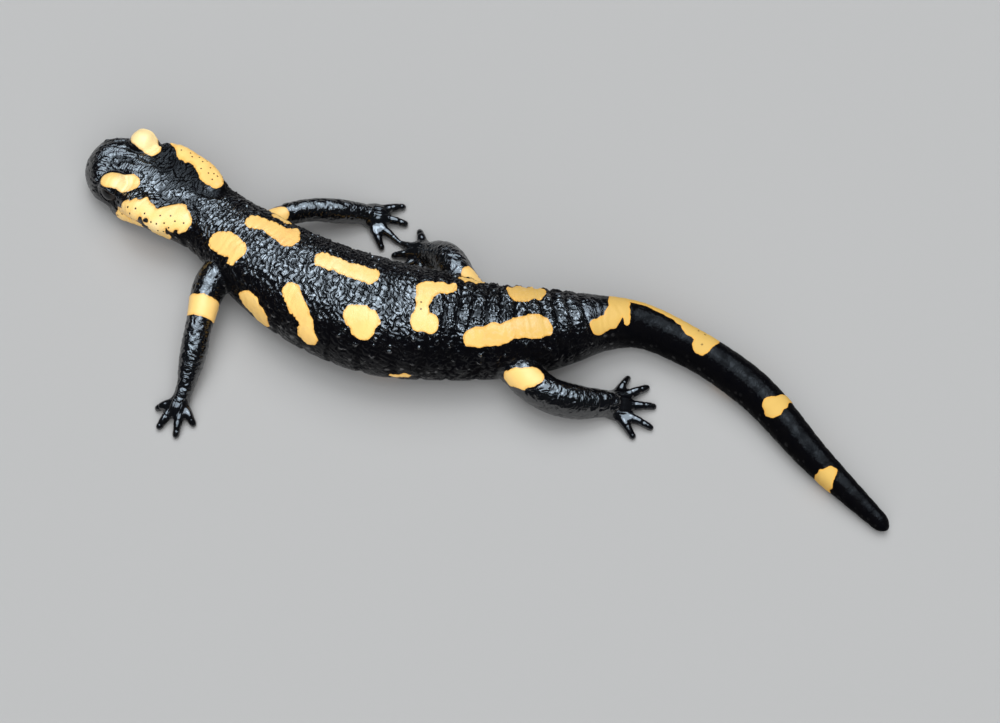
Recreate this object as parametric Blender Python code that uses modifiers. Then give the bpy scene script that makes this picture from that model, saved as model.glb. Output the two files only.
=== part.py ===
"""Fire salamander, a still life-size model of the living animal lying belly down.

Millimetres in the tables, metres in the scene.  +X runs from the head towards the tail, +Z is up and the
floor is z = 0.  The body is one loft along a bent spine; each leg is a set of tapered tubes melted together.
Both are modelled whole and then parted with thin cuts, so the pieces meet face to face.
"""

import math

import bmesh
import bpy
import numpy as np
from mathutils import Matrix, Vector

MM = 0.001
GAP = 0.3 * MM  # clear width of every thin cut

# Body stations along the spine:
# name, x, y, height of the widest level, half width, rise to the back, drop to the belly.
STATIONS = (
    ("snout", -81.0, 40.8, 4.1, 5.2, 3.2, 2.7),
    ("face", -77.2, 40.2, 4.4, 6.5, 3.8, 3.2),
    ("eyes", -72.7, 39.0, 4.6, 7.8, 4.1, 3.5),
    ("cheeks", -67.9, 36.4, 5.0, 8.1, 4.4, 4.2),
    ("parotoids", -62.6, 33.0, 5.3, 8.1, 4.6, 4.8),
    ("nape", -57.7, 29.5, 5.6, 7.4, 4.8, 5.2),
    ("neck", -53.4, 25.9, 6.0, 7.4, 5.3, 5.8),
    ("shoulders", -48.9, 21.6, 6.6, 8.4, 6.4, 6.8),
    ("chest", -43.0, 16.2, 7.1, 9.6, 7.5, 7.4),
    ("ribs", -31.4, 8.8, 7.4, 11.0, 8.8, 7.8),
    ("belly", -21.9, 5.2, 7.5, 11.3, 9.0, 7.9),
    ("flank", -12.2, 3.7, 7.2, 10.6, 8.7, 7.6),
    ("loin", -3.2, 2.7, 6.8, 9.3, 8.0, 7.2),
    ("pelvis", 5.6, 3.0, 6.3, 8.3, 7.4, 6.7),
    ("vent", 12.6, 4.2, 5.7, 6.9, 6.6, 6.0),
    ("tail_root", 18.6, 5.4, 5.0, 5.3, 5.8, 5.3),
    ("tail_arch", 25.2, 5.6, 4.4, 4.2, 4.9, 4.6),
    ("tail_bend", 35.5, 1.1, 3.9, 3.6, 4.2, 4.05),
    ("tail_middle", 46.5, -7.1, 3.6, 3.65, 3.9, 3.75),
    ("tail_rear", 58.8, -22.4, 2.75, 2.85, 3.0, 2.9),
    ("tail_tip", 71.1, -35.7, 1.4, 1.5, 1.6, 1.5),
)
SNOUT_ROUNDING = 4.2  # length over which the snout rounds off
TAIL_ROUNDING = 2.6
SQUARENESS = 2.25  # exponent of the body's superellipse section
BODY_SIDES = 28  # points round the body
HEAD_RING_STEP = 1.5
BODY_RING_STEP = 4.2
HEAD_LENGTH = 33.0  # arc length that takes the finer rings
NOSE_RINGS = 7
TIP_RINGS = 4
TANGENT_STEP = 0.5  # reach each way over which the spine's direction is read

# Swellings of the skin, on both sides:
# name, arc length, degrees above the side, half length, half spread in degrees, height.
SWELLINGS = (
    ("parotoid_front", 15.8, 36, 4.2, 23, 1.9),
    ("parotoid_rear", 22.6, 33, 4.4, 24, 2.2),
    ("jaw_angle", 12.6, -12, 4.2, 26, 0.95),
    ("brow", 5.4, 48, 2.6, 22, 0.35),
    ("gular_pouch", 21.0, -55, 6.0, 35, 0.4),
)

# Eyes, placed from the middle between them with the head's own heading.
EYES_MIDDLE = (-72.15, 39.4)
HEAD_HEADING = 152.0  # degrees from +X
EYE_OUT = 5.6
EYE_HEIGHT = 6.9
EYE_AXIS = (0.08, 0.93, 0.22)  # the way an eye looks: forward, out, up
EYE_RADIUS = 2.35
LID_RADIUS = 3.1
EYE_FORWARD_OF_LID = 0.4  # how far the ball stands out of its lid sphere
LID_OPENING = 2.05  # radius of the round opening between the lids
LID_OPENING_FLARE = 1.25
BALL_SIDES = 16
BALL_RINGS = 10

# Mouth: the lower jaw is a slab of the head below the lip line.
LIP_HEIGHT = 3.15
MOUTH_LENGTH = 14.0
JAW_SLAB_MARGIN = 12.0  # how far the slab runs past the snout
JAW_SLAB_WIDTH = 40.0

# Where the body is parted: node name and the arc length where it ends.
BODY_CUTS = (
    ("head", 28.5),
    ("neck", 35.5),
    ("trunk_chest", 56.0),
    ("trunk_belly", 79.0),
    ("trunk_pelvis", 106.0),
    ("tail_base", 131.0),
    ("tail_middle", 157.0),
    ("tail_end", None),
)

# Legs: bones as (x, y, z, radius), the palm as (x, y, heading in degrees, half length, half width), and the
# digits' tips as (x, y).  The first bone point lies inside the trunk.
LEGS = {
    "foreleg_right": {
        "bones": (
            (-47.0, 22.5, 6.2, 3.3),
            (-42.6, 28.2, 5.8, 2.4),
            (-37.2, 30.4, 5.2, 2.25),
            (-31.4, 31.0, 3.9, 2.4),
            (-27.4, 31.4, 2.5, 2.1),
        ),
        "palm": (-24.6, 31.4, -14, 3.2, 2.8),
        "digits": ((-19.0, 33.9), (-18.5, 30.0), (-19.9, 26.0), (-23.0, 24.7)),
        "names": ("upper_arm_right", "forearm_right", "hand_right"),
    },
    "foreleg_left": {
        "bones": (
            (-50.6, 18.4, 6.2, 3.6),
            (-54.7, 13.6, 6.4, 3.4),
            (-56.6, 5.8, 6.0, 2.65),
            (-57.9, -1.4, 4.3, 2.55),
            (-59.2, -7.0, 2.5, 1.75),
        ),
        "palm": (-60.3, -9.9, -112, 2.9, 2.0),
        "digits": ((-64.3, -10.3), (-63.8, -14.2), (-60.6, -16.0), (-57.5, -13.6)),
        "names": ("upper_arm_left", "forearm_left", "hand_left"),
    },
    "hindleg_right": {
        "bones": (
            (-2.6, 6.6, 6.2, 3.8),
            (-6.6, 12.4, 7.0, 3.2),
            (-9.6, 18.2, 6.5, 3.15),
            (-11.6, 21.0, 4.3, 2.8),
            (-13.2, 22.3, 2.5, 2.3),
        ),
        "palm": (-15.0, 22.9, 168, 3.1, 2.9),
        "digits": ((-15.6, 28.2), (-18.7, 25.3), (-20.6, 22.9), (-19.1, 19.9), (-15.6, 18.3)),
        "names": ("thigh_right", "shank_right", "foot_right"),
    },
    "hindleg_left": {
        "bones": (
            (0.6, 1.6, 6.2, 4.4),
            (3.6, -5.0, 6.3, 3.8),
            (8.4, -9.5, 5.6, 3.4),
            (14.0, -10.7, 4.1, 3.3),
            (19.0, -10.3, 2.7, 2.7),
        ),
        "palm": (21.8, -10.0, 4, 3.3, 3.3),
        "digits": ((24.2, -3.9), (27.7, -6.0), (28.9, -10.0), (28.2, -14.4), (24.8, -16.2)),
        "names": ("thigh_left", "shank_left", "foot_left"),
    },
}
LEG_JOINTS = (2, 4)  # bone points where each leg is parted
PALM_HEIGHT = 1.75  # half thickness of a palm
DIGIT_ROOT_RADIUS = 1.12
DIGIT_TIP_RADIUS = 0.82
DIGIT_ROOT_LIFT = 0.35
DIGIT_ARCH = 0.5  # how far a digit's middle rises
DIGIT_ROOT_SPREAD = 0.42  # how far a digit's root lies out to its side of the palm
DIGIT_ROOT_AHEAD = 0.2
DIGIT_SINK = 0.78  # height of a digit's centre line in its radii, under 1 so that it ends flat on the floor
PALM_SINK = 0.82
WRIST_TAPER = 0.8
LEG_VOXEL = 0.5
LEG_SMOOTHING = 6
LEG_TRIANGLES = 640  # of each whole leg, before it is parted

SHARP_ANGLE = 50.0  # degrees between faces from which an edge stays sharp

# name, base colour, roughness
SKIN_BLACK = ("black_skin", (0.010, 0.010, 0.012, 1.0), 0.35)
EYE_BLACK = ("eye", (0.006, 0.005, 0.005, 1.0), 0.05)


def hermite(knots, rows, at):
    """Rows of numbers, given at the knots, read smoothly at the places `at`."""
    knots, rows, at = (np.asarray(a, float) for a in (knots, rows, at))
    slopes = np.gradient(rows, knots, axis=0)
    i = np.clip(np.searchsorted(knots, at) - 1, 0, len(knots) - 2)
    span = knots[i + 1] - knots[i]
    t = ((at - knots[i]) / span)[:, None]
    rise = span[:, None]
    return (
        rows[i] * (2 * t**3 - 3 * t**2 + 1)
        + rows[i + 1] * (3 * t**2 - 2 * t**3)
        + slopes[i] * rise * (t**3 - 2 * t**2 + t)
        + slopes[i + 1] * rise * (t**3 - t**2)
    )


def spine_lengths():
    """Arc length at each station."""
    places = np.array([row[1:3] for row in STATIONS])
    steps = np.linalg.norm(np.diff(places, axis=0), axis=1)
    return np.concatenate([[0.0], np.cumsum(steps)])


def spine_frame(at):
    """Centre of the section, direction to the tail and direction to the animal's right, in mm."""
    knots = spine_lengths()
    rows = np.array([row[1:] for row in STATIONS])
    here = hermite(knots, rows, at)
    ahead = hermite(knots, rows, np.minimum(np.asarray(at) + TANGENT_STEP, knots[-1]))[:, :2]
    behind = hermite(knots, rows, np.maximum(np.asarray(at) - TANGENT_STEP, 0.0))[:, :2]
    tailward = ahead - behind
    tailward /= np.linalg.norm(tailward, axis=1)[:, None]
    right = np.stack([-tailward[:, 1], tailward[:, 0]], axis=1)
    return here, tailward, right


def rounding(at, total):
    """Share of the full section left where the snout and the tail tip round off."""
    near_snout = np.clip(at / SNOUT_ROUNDING, 0, 1)
    near_tip = np.clip((total - at) / TAIL_ROUNDING, 0, 1)
    return np.sqrt(1 - (1 - near_snout) ** 2) * np.sqrt(1 - (1 - near_tip) ** 2)


def swelling(at, angle):
    """Outward rise of the skin from the named swellings, in mm."""
    degrees = np.degrees(np.where(np.cos(angle) >= 0, angle, math.pi - angle))
    degrees = (degrees + 180) % 360 - 180
    rise = np.zeros_like(at * angle)
    for _, station, above, half_length, half_spread, height in SWELLINGS:
        along = (at - station) / half_length
        across = (degrees - above) / half_spread
        rise += height * np.exp(-(along**2) - across**2)
    return rise


def signed_power(value, exponent):
    return np.sign(value) * np.abs(value) ** exponent


def body_points(at, angle, inflate=0.0):
    """Points of the body's surface in mm, for arc lengths `at` and angles round the section."""
    total = spine_lengths()[-1]
    here, _, right = spine_frame(at)
    share = rounding(at, total)[:, None]
    rise = swelling(at[:, None], angle[None, :]) + inflate
    side = signed_power(np.cos(angle), 2 / SQUARENESS)[None, :]
    lift = signed_power(np.sin(angle), 2 / SQUARENESS)[None, :]
    out = here[:, 3:4] * share * side + rise * share * np.cos(angle)
    tall = np.where(lift > 0, here[:, 4:5], here[:, 5:6])
    up = tall * share * lift + rise * share * np.sin(angle)
    x = here[:, 0:1] + out * right[:, 0:1]
    y = here[:, 1:2] + out * right[:, 1:2]
    return np.stack([x, y, here[:, 2:3] + up], axis=-1)


def ring_places():
    """Arc lengths of the loft's rings, closer on the head and at the two round ends."""
    total = spine_lengths()[-1]
    nose = SNOUT_ROUNDING * (1 - np.cos(np.linspace(0, math.pi / 2, NOSE_RINGS + 1)))[:-1]
    head = np.arange(SNOUT_ROUNDING, HEAD_LENGTH, HEAD_RING_STEP)
    rest = np.linspace(HEAD_LENGTH, total - TAIL_ROUNDING, int((total - HEAD_LENGTH) / BODY_RING_STEP))
    tip = total - TAIL_ROUNDING * (1 - np.sin(np.linspace(0, math.pi / 2, TIP_RINGS + 1)))[1:]
    return np.concatenate([nose, head, rest, tip])


def new_object(name, mesh, collection):
    obj = bpy.data.objects.new(name, mesh)
    collection.objects.link(obj)
    return obj


def mesh_from(bm, name):
    bmesh.ops.triangulate(bm, faces=bm.faces)
    bmesh.ops.recalc_face_normals(bm, faces=bm.faces)
    mesh = bpy.data.meshes.new(name)
    bm.to_mesh(mesh)
    bm.free()
    return mesh


def loft_body(inflate=0.0):
    """The whole body, snout to tail tip, as one closed bmesh in metres."""
    angle = np.linspace(0, 2 * math.pi, BODY_SIDES, endpoint=False)
    points = body_points(ring_places(), angle, inflate) * MM
    rings, sides = points.shape[:2]
    bm = bmesh.new()
    grid = [[bm.verts.new(points[i, j]) for j in range(sides)] for i in range(rings)]
    for i in range(rings - 1):
        for j in range(sides):
            k = (j + 1) % sides
            bm.faces.new((grid[i][j], grid[i][k], grid[i + 1][k], grid[i + 1][j]))
    bmesh.ops.remove_doubles(bm, verts=bm.verts, dist=1e-7)
    bmesh.ops.recalc_face_normals(bm, faces=bm.faces)
    return bm


def keep_side(bm, point, normal):
    """Cuts the closed bmesh at a plane, keeps what lies against the normal and closes the cut."""
    everything = bm.verts[:] + bm.edges[:] + bm.faces[:]
    bmesh.ops.bisect_plane(bm, geom=everything, plane_co=point, plane_no=normal, clear_outer=True)
    rim = [edge for edge in bm.edges if edge.is_boundary]
    if rim:
        bmesh.ops.holes_fill(bm, edges=rim, sides=0)


def stand_on_floor(bm):
    """Cuts off what lies below the floor, which leaves the small flats that the animal rests on."""
    keep_side(bm, Vector((0, 0, 0)), Vector((0, 0, -1)))


def body_plane(at):
    """Point and tailward direction of the upright plane across the body at an arc length."""
    here, tailward, _ = spine_frame(np.array([float(at)]))
    return Vector((*here[0, :3],)) * MM, Vector((*tailward[0], 0))


def part_body():
    """Parts the body with upright planes and returns {node name: mesh}."""
    pieces = {}
    start = None
    for name, end in BODY_CUTS:
        bm = loft_body()
        stand_on_floor(bm)
        if start is not None:
            point, tailward = body_plane(start)
            keep_side(bm, point + tailward * GAP / 2, -tailward)
        if end is not None:
            point, tailward = body_plane(end)
            keep_side(bm, point - tailward * GAP / 2, tailward)
        pieces[name] = mesh_from(bm, name)
        start = end
    return pieces


def boolean(obj, cutter, operation):
    """Applies one exact Boolean to the object's mesh."""
    modifier = obj.modifiers.new(operation.lower(), "BOOLEAN")
    modifier.operation = operation
    modifier.object = cutter
    bpy.context.view_layer.update()
    graph = bpy.context.evaluated_depsgraph_get()
    mesh = bpy.data.meshes.new_from_object(obj.evaluated_get(graph))
    obj.modifiers.clear()
    obj.data = mesh


def as_cutter(obj):
    obj.hide_render = True
    obj.display_type = "WIRE"
    return obj


def ball(name, centre, radius, collection):
    bm = bmesh.new()
    bmesh.ops.create_uvsphere(bm, u_segments=BALL_SIDES, v_segments=BALL_RINGS, radius=radius)
    bmesh.ops.translate(bm, verts=bm.verts, vec=centre)
    return new_object(name, mesh_from(bm, name), collection)


def eye_places():
    """For each eye: side name, centre of the lid sphere, centre of the ball and the way it looks."""
    heading = math.radians(HEAD_HEADING)
    forward = Vector((math.cos(heading), math.sin(heading), 0))
    for side, sign in (("right", 1), ("left", -1)):
        out = Vector((forward.y, -forward.x, 0)) * sign
        looks = (forward * EYE_AXIS[0] + out * EYE_AXIS[1] + Vector((0, 0, EYE_AXIS[2]))).normalized()
        lid = (Vector((*EYES_MIDDLE, EYE_HEIGHT)) + out * EYE_OUT) * MM
        yield side, lid, lid + looks * EYE_FORWARD_OF_LID * MM, looks


def shape_head(head, nodes, cutters):
    """Adds the lid swellings to the head, opens the sockets and sets the eyes in them."""
    for side, lid, ball_centre, looks in eye_places():
        lid_ball = as_cutter(ball(f"lid_{side}", lid, LID_RADIUS * MM, cutters))
        boolean(head, lid_ball, "UNION")
        socket = as_cutter(ball(f"socket_{side}", ball_centre, EYE_RADIUS * MM + GAP, cutters))
        boolean(head, socket, "DIFFERENCE")
        bm = bmesh.new()
        turn = looks.to_track_quat("Z", "Y").to_matrix().to_4x4()
        depth = 2 * LID_RADIUS * MM
        bmesh.ops.create_cone(
            bm,
            cap_ends=True,
            segments=BALL_SIDES,
            radius1=LID_OPENING * MM,
            radius2=LID_OPENING * MM * LID_OPENING_FLARE,
            depth=depth,
            matrix=Matrix.Translation(ball_centre + looks * depth / 2) @ turn,
        )
        opening = as_cutter(new_object(f"opening_{side}", mesh_from(bm, "opening"), cutters))
        boolean(head, opening, "DIFFERENCE")
        ball(f"eye_{side}", ball_centre, EYE_RADIUS * MM, nodes)


def jaw_slab(name, slack, collection):
    """An upright-sided box that holds the lower jaw, grown by `slack` towards the rest of the head."""
    point, tailward = body_plane(MOUTH_LENGTH)
    start, _ = body_plane(0.0)
    along = (point - start).length
    reach = along + JAW_SLAB_MARGIN * MM
    top = LIP_HEIGHT * MM + slack
    bm = bmesh.new()
    bmesh.ops.create_cube(bm, size=1.0)
    bmesh.ops.scale(bm, verts=bm.verts, vec=(reach, JAW_SLAB_WIDTH * MM, 2 * top))
    bmesh.ops.translate(bm, verts=bm.verts, vec=(slack - reach / 2, 0, 0))
    heading = math.atan2(tailward.y, tailward.x)
    bmesh.ops.rotate(bm, verts=bm.verts, cent=(0, 0, 0), matrix=Matrix.Rotation(heading, 3, "Z"))
    bmesh.ops.translate(bm, verts=bm.verts, vec=(point.x, point.y, 0))
    return as_cutter(new_object(name, mesh_from(bm, name), collection))


def part_jaw(head, nodes, cutters):
    """Splits the head along the mouth into the head and the lower jaw."""
    jaw = new_object("lower_jaw", head.data.copy(), nodes)
    boolean(jaw, jaw_slab("jaw_keep", -GAP / 2, cutters), "INTERSECT")
    boolean(head, jaw_slab("jaw_clear", GAP / 2, cutters), "DIFFERENCE")


def tube(name, points, collection):
    """A tapered tube through (x, y, z, radius) rows in mm, as a closed mesh object."""
    curve = bpy.data.curves.new(name, "CURVE")
    curve.dimensions = "3D"
    curve.bevel_depth = MM
    curve.bevel_resolution = 4
    curve.resolution_u = 8
    curve.use_fill_caps = True
    spline = curve.splines.new("BEZIER")
    spline.bezier_points.add(len(points) - 1)
    for knot, (x, y, z, radius) in zip(spline.bezier_points, points):
        knot.co = Vector((x, y, z)) * MM
        knot.radius = radius
        knot.handle_left_type = knot.handle_right_type = "AUTO"
    spline.radius_interpolation = "CARDINAL"
    guide = new_object(name, curve, collection)
    bpy.context.view_layer.update()
    graph = bpy.context.evaluated_depsgraph_get()
    mesh = bpy.data.meshes.new_from_object(guide.evaluated_get(graph))
    bpy.data.objects.remove(guide)
    return new_object(name, mesh, collection)


def digit_points(palm, tip):
    """A digit from inside the palm, up over its arch and down to its tip on the floor."""
    x, y, heading, _, _ = palm
    ahead = Vector((math.cos(math.radians(heading)), math.sin(math.radians(heading))))
    beside = Vector((-ahead.y, ahead.x))
    reach = Vector(tip) - Vector((x, y))
    root = Vector((x, y)) + beside * reach.dot(beside) * DIGIT_ROOT_SPREAD
    root += ahead * reach.dot(ahead) * DIGIT_ROOT_AHEAD
    middle_radius = (DIGIT_ROOT_RADIUS + DIGIT_TIP_RADIUS) / 2
    rows = []
    for share, lift, radius in (
        (0.0, DIGIT_ROOT_LIFT, DIGIT_ROOT_RADIUS),
        (0.5, DIGIT_ARCH, middle_radius),
        (1.0, 0.0, DIGIT_TIP_RADIUS),
    ):
        place = root.lerp(Vector(tip), share)
        rows.append((place.x, place.y, radius * DIGIT_SINK + lift, radius))
    return rows


def palm_ball(name, palm, collection):
    x, y, heading, half_length, half_width = palm
    bm = bmesh.new()
    bmesh.ops.create_uvsphere(bm, u_segments=24, v_segments=16, radius=1.0)
    bmesh.ops.scale(bm, verts=bm.verts, vec=Vector((half_length, half_width, PALM_HEIGHT)) * MM)
    bmesh.ops.rotate(
        bm, verts=bm.verts, cent=(0, 0, 0), matrix=Matrix.Rotation(math.radians(heading), 3, "Z")
    )
    bmesh.ops.translate(bm, verts=bm.verts, vec=Vector((x, y, PALM_HEIGHT * PALM_SINK)) * MM)
    return new_object(name, mesh_from(bm, name), collection)


def melt(objects, name, collection):
    """Melts overlapping closed shapes into one smooth closed mesh of about LEG_TRIANGLES."""
    bm = bmesh.new()
    for obj in objects:
        bm.from_mesh(obj.data)
        bpy.data.objects.remove(obj)
    whole = new_object(name, mesh_from(bm, name), collection)
    remesh = whole.modifiers.new("melt", "REMESH")
    remesh.mode = "VOXEL"
    remesh.voxel_size = LEG_VOXEL * MM
    smooth = whole.modifiers.new("smooth", "SMOOTH")
    smooth.factor = 0.5
    smooth.iterations = LEG_SMOOTHING
    bpy.context.view_layer.update()
    graph = bpy.context.evaluated_depsgraph_get()
    fine_triangles = len(whole.evaluated_get(graph).data.polygons) * 2
    thin = whole.modifiers.new("thin", "DECIMATE")
    thin.ratio = LEG_TRIANGLES / fine_triangles
    bpy.context.view_layer.update()
    graph = bpy.context.evaluated_depsgraph_get()
    mesh = bpy.data.meshes.new_from_object(whole.evaluated_get(graph))
    bpy.data.objects.remove(whole)
    return mesh


def build_leg(name, leg, collection):
    """The whole leg as one closed mesh: limb tube, palm and digits."""
    shapes = [tube("limb", leg["bones"], collection), palm_ball("palm", leg["palm"], collection)]
    last_bone = leg["bones"][-1]
    palm = leg["palm"]
    wrist = (last_bone, (palm[0], palm[1], PALM_HEIGHT, last_bone[3] * WRIST_TAPER))
    shapes.append(tube("wrist", wrist, collection))
    for tip in leg["digits"]:
        shapes.append(tube("digit", digit_points(palm, tip), collection))
        end = Vector((tip[0], tip[1], DIGIT_TIP_RADIUS * DIGIT_SINK)) * MM
        shapes.append(ball("digit_end", end, DIGIT_TIP_RADIUS * MM, collection))
    return melt(shapes, name, collection)


def bone_plane(leg, index):
    """Point and outward direction of the plane across a leg at one of its bone points."""
    bones = [Vector(row[:3]) * MM for row in leg["bones"]]
    palm = Vector((leg["palm"][0], leg["palm"][1], PALM_HEIGHT)) * MM
    after = bones[index + 1] if index + 1 < len(bones) else palm
    return bones[index], (after - bones[index - 1]).normalized()


def part_leg(leg, whole, trunk, nodes):
    """Cuts the leg free of the trunk and parts it at its two joints."""
    planes = [bone_plane(leg, index) for index in LEG_JOINTS]
    for order, name in enumerate(leg["names"]):
        bm = bmesh.new()
        bm.from_mesh(whole)
        if order > 0:
            point, outward = planes[order - 1]
            keep_side(bm, point + outward * GAP / 2, -outward)
        if order < len(planes):
            point, outward = planes[order]
            keep_side(bm, point - outward * GAP / 2, outward)
        stand_on_floor(bm)
        obj = new_object(name, mesh_from(bm, name), nodes)
        if order == 0:
            boolean(obj, trunk, "DIFFERENCE")


def material(name, colour, roughness):
    made = bpy.data.materials.new(name)
    made.use_nodes = True
    shader = made.node_tree.nodes["Principled BSDF"]
    shader.inputs["Base Color"].default_value = colour
    shader.inputs["Roughness"].default_value = roughness
    shader.inputs["Metallic"].default_value = 0.0
    return made


def shade_smooth(objects):
    """Smooth shading, with the thin cuts and the flats left sharp."""
    for obj in objects:
        obj.data.shade_smooth()
        obj.data.set_sharp_from_angle(angle=math.radians(SHARP_ANGLE))


def centre_on_floor(objects):
    """Moves the model so that the middle of its footprint is the origin."""
    corners = np.array([obj.matrix_world @ Vector(c) for obj in objects for c in obj.bound_box])
    middle = (corners.min(axis=0) + corners.max(axis=0)) / 2
    shift = Matrix.Translation((-middle[0], -middle[1], 0))
    for obj in objects:
        obj.data.transform(shift)


def main():
    for obj in list(bpy.data.objects):
        bpy.data.objects.remove(obj)
    nodes = bpy.data.collections.new("fire_salamander")
    cutters = bpy.data.collections.new("cutters")
    for collection in (nodes, cutters):
        bpy.context.scene.collection.children.link(collection)

    for name, mesh in part_body().items():
        new_object(name, mesh, nodes)
    head = bpy.data.objects["head"]
    shape_head(head, nodes, cutters)
    part_jaw(head, nodes, cutters)

    trunk = as_cutter(new_object("trunk_clear", mesh_from(loft_body(GAP / MM), "trunk_clear"), cutters))
    for name, leg in LEGS.items():
        part_leg(leg, build_leg(name, leg, cutters), trunk, nodes)

    skin = material(*SKIN_BLACK)
    eye = material(*EYE_BLACK)
    for obj in nodes.objects:
        obj.data.materials.clear()
        obj.data.materials.append(eye if obj.name.startswith("eye_") else skin)
    shade_smooth(nodes.objects)
    centre_on_floor(nodes.objects)


main()
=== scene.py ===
import math

import bmesh
import bpy
import numpy as np
from mathutils import Matrix, Vector


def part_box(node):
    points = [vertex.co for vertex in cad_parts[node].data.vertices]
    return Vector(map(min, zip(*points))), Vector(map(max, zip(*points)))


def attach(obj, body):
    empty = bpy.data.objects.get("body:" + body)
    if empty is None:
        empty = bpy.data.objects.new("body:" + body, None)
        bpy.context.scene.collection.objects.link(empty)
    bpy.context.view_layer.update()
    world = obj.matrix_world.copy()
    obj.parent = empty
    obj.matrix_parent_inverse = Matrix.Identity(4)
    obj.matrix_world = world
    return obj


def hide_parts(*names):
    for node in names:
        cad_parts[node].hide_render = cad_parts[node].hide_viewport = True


# Drawn in millimetres, from the same named sizes as the solids, and moved into place at the end.
mm = 0.001

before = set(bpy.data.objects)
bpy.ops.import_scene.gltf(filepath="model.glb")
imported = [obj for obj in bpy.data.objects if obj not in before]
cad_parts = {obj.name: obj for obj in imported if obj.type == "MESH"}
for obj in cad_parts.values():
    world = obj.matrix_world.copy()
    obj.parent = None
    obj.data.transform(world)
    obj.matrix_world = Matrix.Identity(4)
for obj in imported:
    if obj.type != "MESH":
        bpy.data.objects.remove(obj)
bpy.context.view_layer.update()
print("frame loaded:", len(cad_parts), "nodes")


def smoothStep(low, high, value):
    share = np.clip((value - low) / (high - low), 0, 1)
    return share * share * (3 - 2 * share)


def fadeOut(low, high, value):
    return 1 - smoothStep(low, high, value)


def bump(value, middle, width):
    return np.exp(-((value - middle) / width) ** 2)


def distanceTo(points, place):
    return np.linalg.norm(points - np.array(place), axis=1)


def hashed(cell, seed):
    # a fixed whole number for each cell of a grid
    key = cell @ np.array((73856093, 19349663, 83492791))[:cell.shape[1]] + seed * 97531
    key = (key ^ (key >> 13)) * 1274126177 & 0x7FFFFFFF
    return (key ^ (key >> 15)) * 22695477 & 0x7FFFFFFF


def gradientNoise(points, seed):
    # soft noise from about -1 to 1, one lump for each unit of the points
    cell = np.floor(points).astype(np.int64)
    within = points - cell
    ease = within ** 3 * (within * (within * 6 - 15) + 10)
    total = np.zeros(len(points))
    for corner in np.ndindex(2, 2, 2):
        corner = np.array(corner)
        key = hashed(cell + corner, seed)
        slopes = np.stack([(key >> shift) % 256 / 127.5 - 1 for shift in (3, 11, 19)], axis=1)
        share = np.prod(np.where(corner, ease, 1 - ease), axis=1)
        total += share * ((within - corner) * slopes).sum(axis=1)
    return total * 1.5


def hermite(knots, rows, at):
    # rows of numbers, given at the knots, read smoothly at other places
    knots, rows, at = (np.asarray(a, float) for a in (knots, rows, at))
    slopes = np.gradient(rows, knots, axis=0)
    i = np.clip(np.searchsorted(knots, at) - 1, 0, len(knots) - 2)
    span = knots[i + 1] - knots[i]
    t = ((at - knots[i]) / span)[:, None]
    rise = span[:, None]
    return (
        rows[i] * (2 * t**3 - 3 * t**2 + 1)
        + rows[i + 1] * (3 * t**2 - 2 * t**3)
        + slopes[i] * rise * (t**3 - 2 * t**2 + t)
        + slopes[i + 1] * rise * (t**3 - t**2)
    )


def lengthsAlong(places):
    steps = np.linalg.norm(np.diff(np.asarray(places, float), axis=0), axis=1)
    return np.concatenate([[0.0], np.cumsum(steps)])


def newObject(name, mesh):
    made = bpy.data.objects.new(name, mesh)
    bpy.context.scene.collection.objects.link(made)
    return made


def meshFrom(name, points, faces):
    mesh = bpy.data.meshes.new(name)
    mesh.from_pydata([tuple(p) for p in points], [], [tuple(f) for f in faces])
    mesh.update()
    return mesh


def valuesOf(items, name, width=1, kind=float):
    # a number, or a row of them, for each of a mesh's items
    flat = np.empty(len(items) * width, kind)
    items.foreach_get(name, flat)
    return flat.reshape(-1, width) if width > 1 else flat


def meshPoints(mesh):
    return valuesOf(mesh.vertices, "co", 3)


def setPoints(mesh, points):
    mesh.vertices.foreach_set("co", np.ascontiguousarray(points, np.float32).ravel())
    mesh.update()


def meshEdges(mesh):
    return valuesOf(mesh.edges, "vertices", 2, np.int32)


def keepOnPoints(mesh, name, values):
    # a number or a vector for each point, which the materials read by name
    kind, field = ("FLOAT", "value") if values.ndim == 1 else ("FLOAT_VECTOR", "vector")
    layer = mesh.attributes.new(name, kind, "POINT")
    layer.data.foreach_set(field, values.astype(np.float32).ravel())


def applied(obj):
    # the object's mesh with its modifiers applied
    bpy.context.view_layer.update()
    graph = bpy.context.evaluated_depsgraph_get()
    return bpy.data.meshes.new_from_object(obj.evaluated_get(graph))


def relax(points, edges, share, rounds):
    # moves each point towards the middle of its neighbours
    count = np.bincount(edges.ravel(), minlength=len(points))
    near, far = edges[:, 0], edges[:, 1]
    for _ in range(rounds):
        middle = np.empty_like(points)
        for axis in range(3):
            column = points[:, axis]
            total = np.bincount(near, column[far], len(points))
            total += np.bincount(far, column[near], len(points))
            middle[:, axis] = total / count
        points = points + share[:, None] * (middle - points)
    return points


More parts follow.
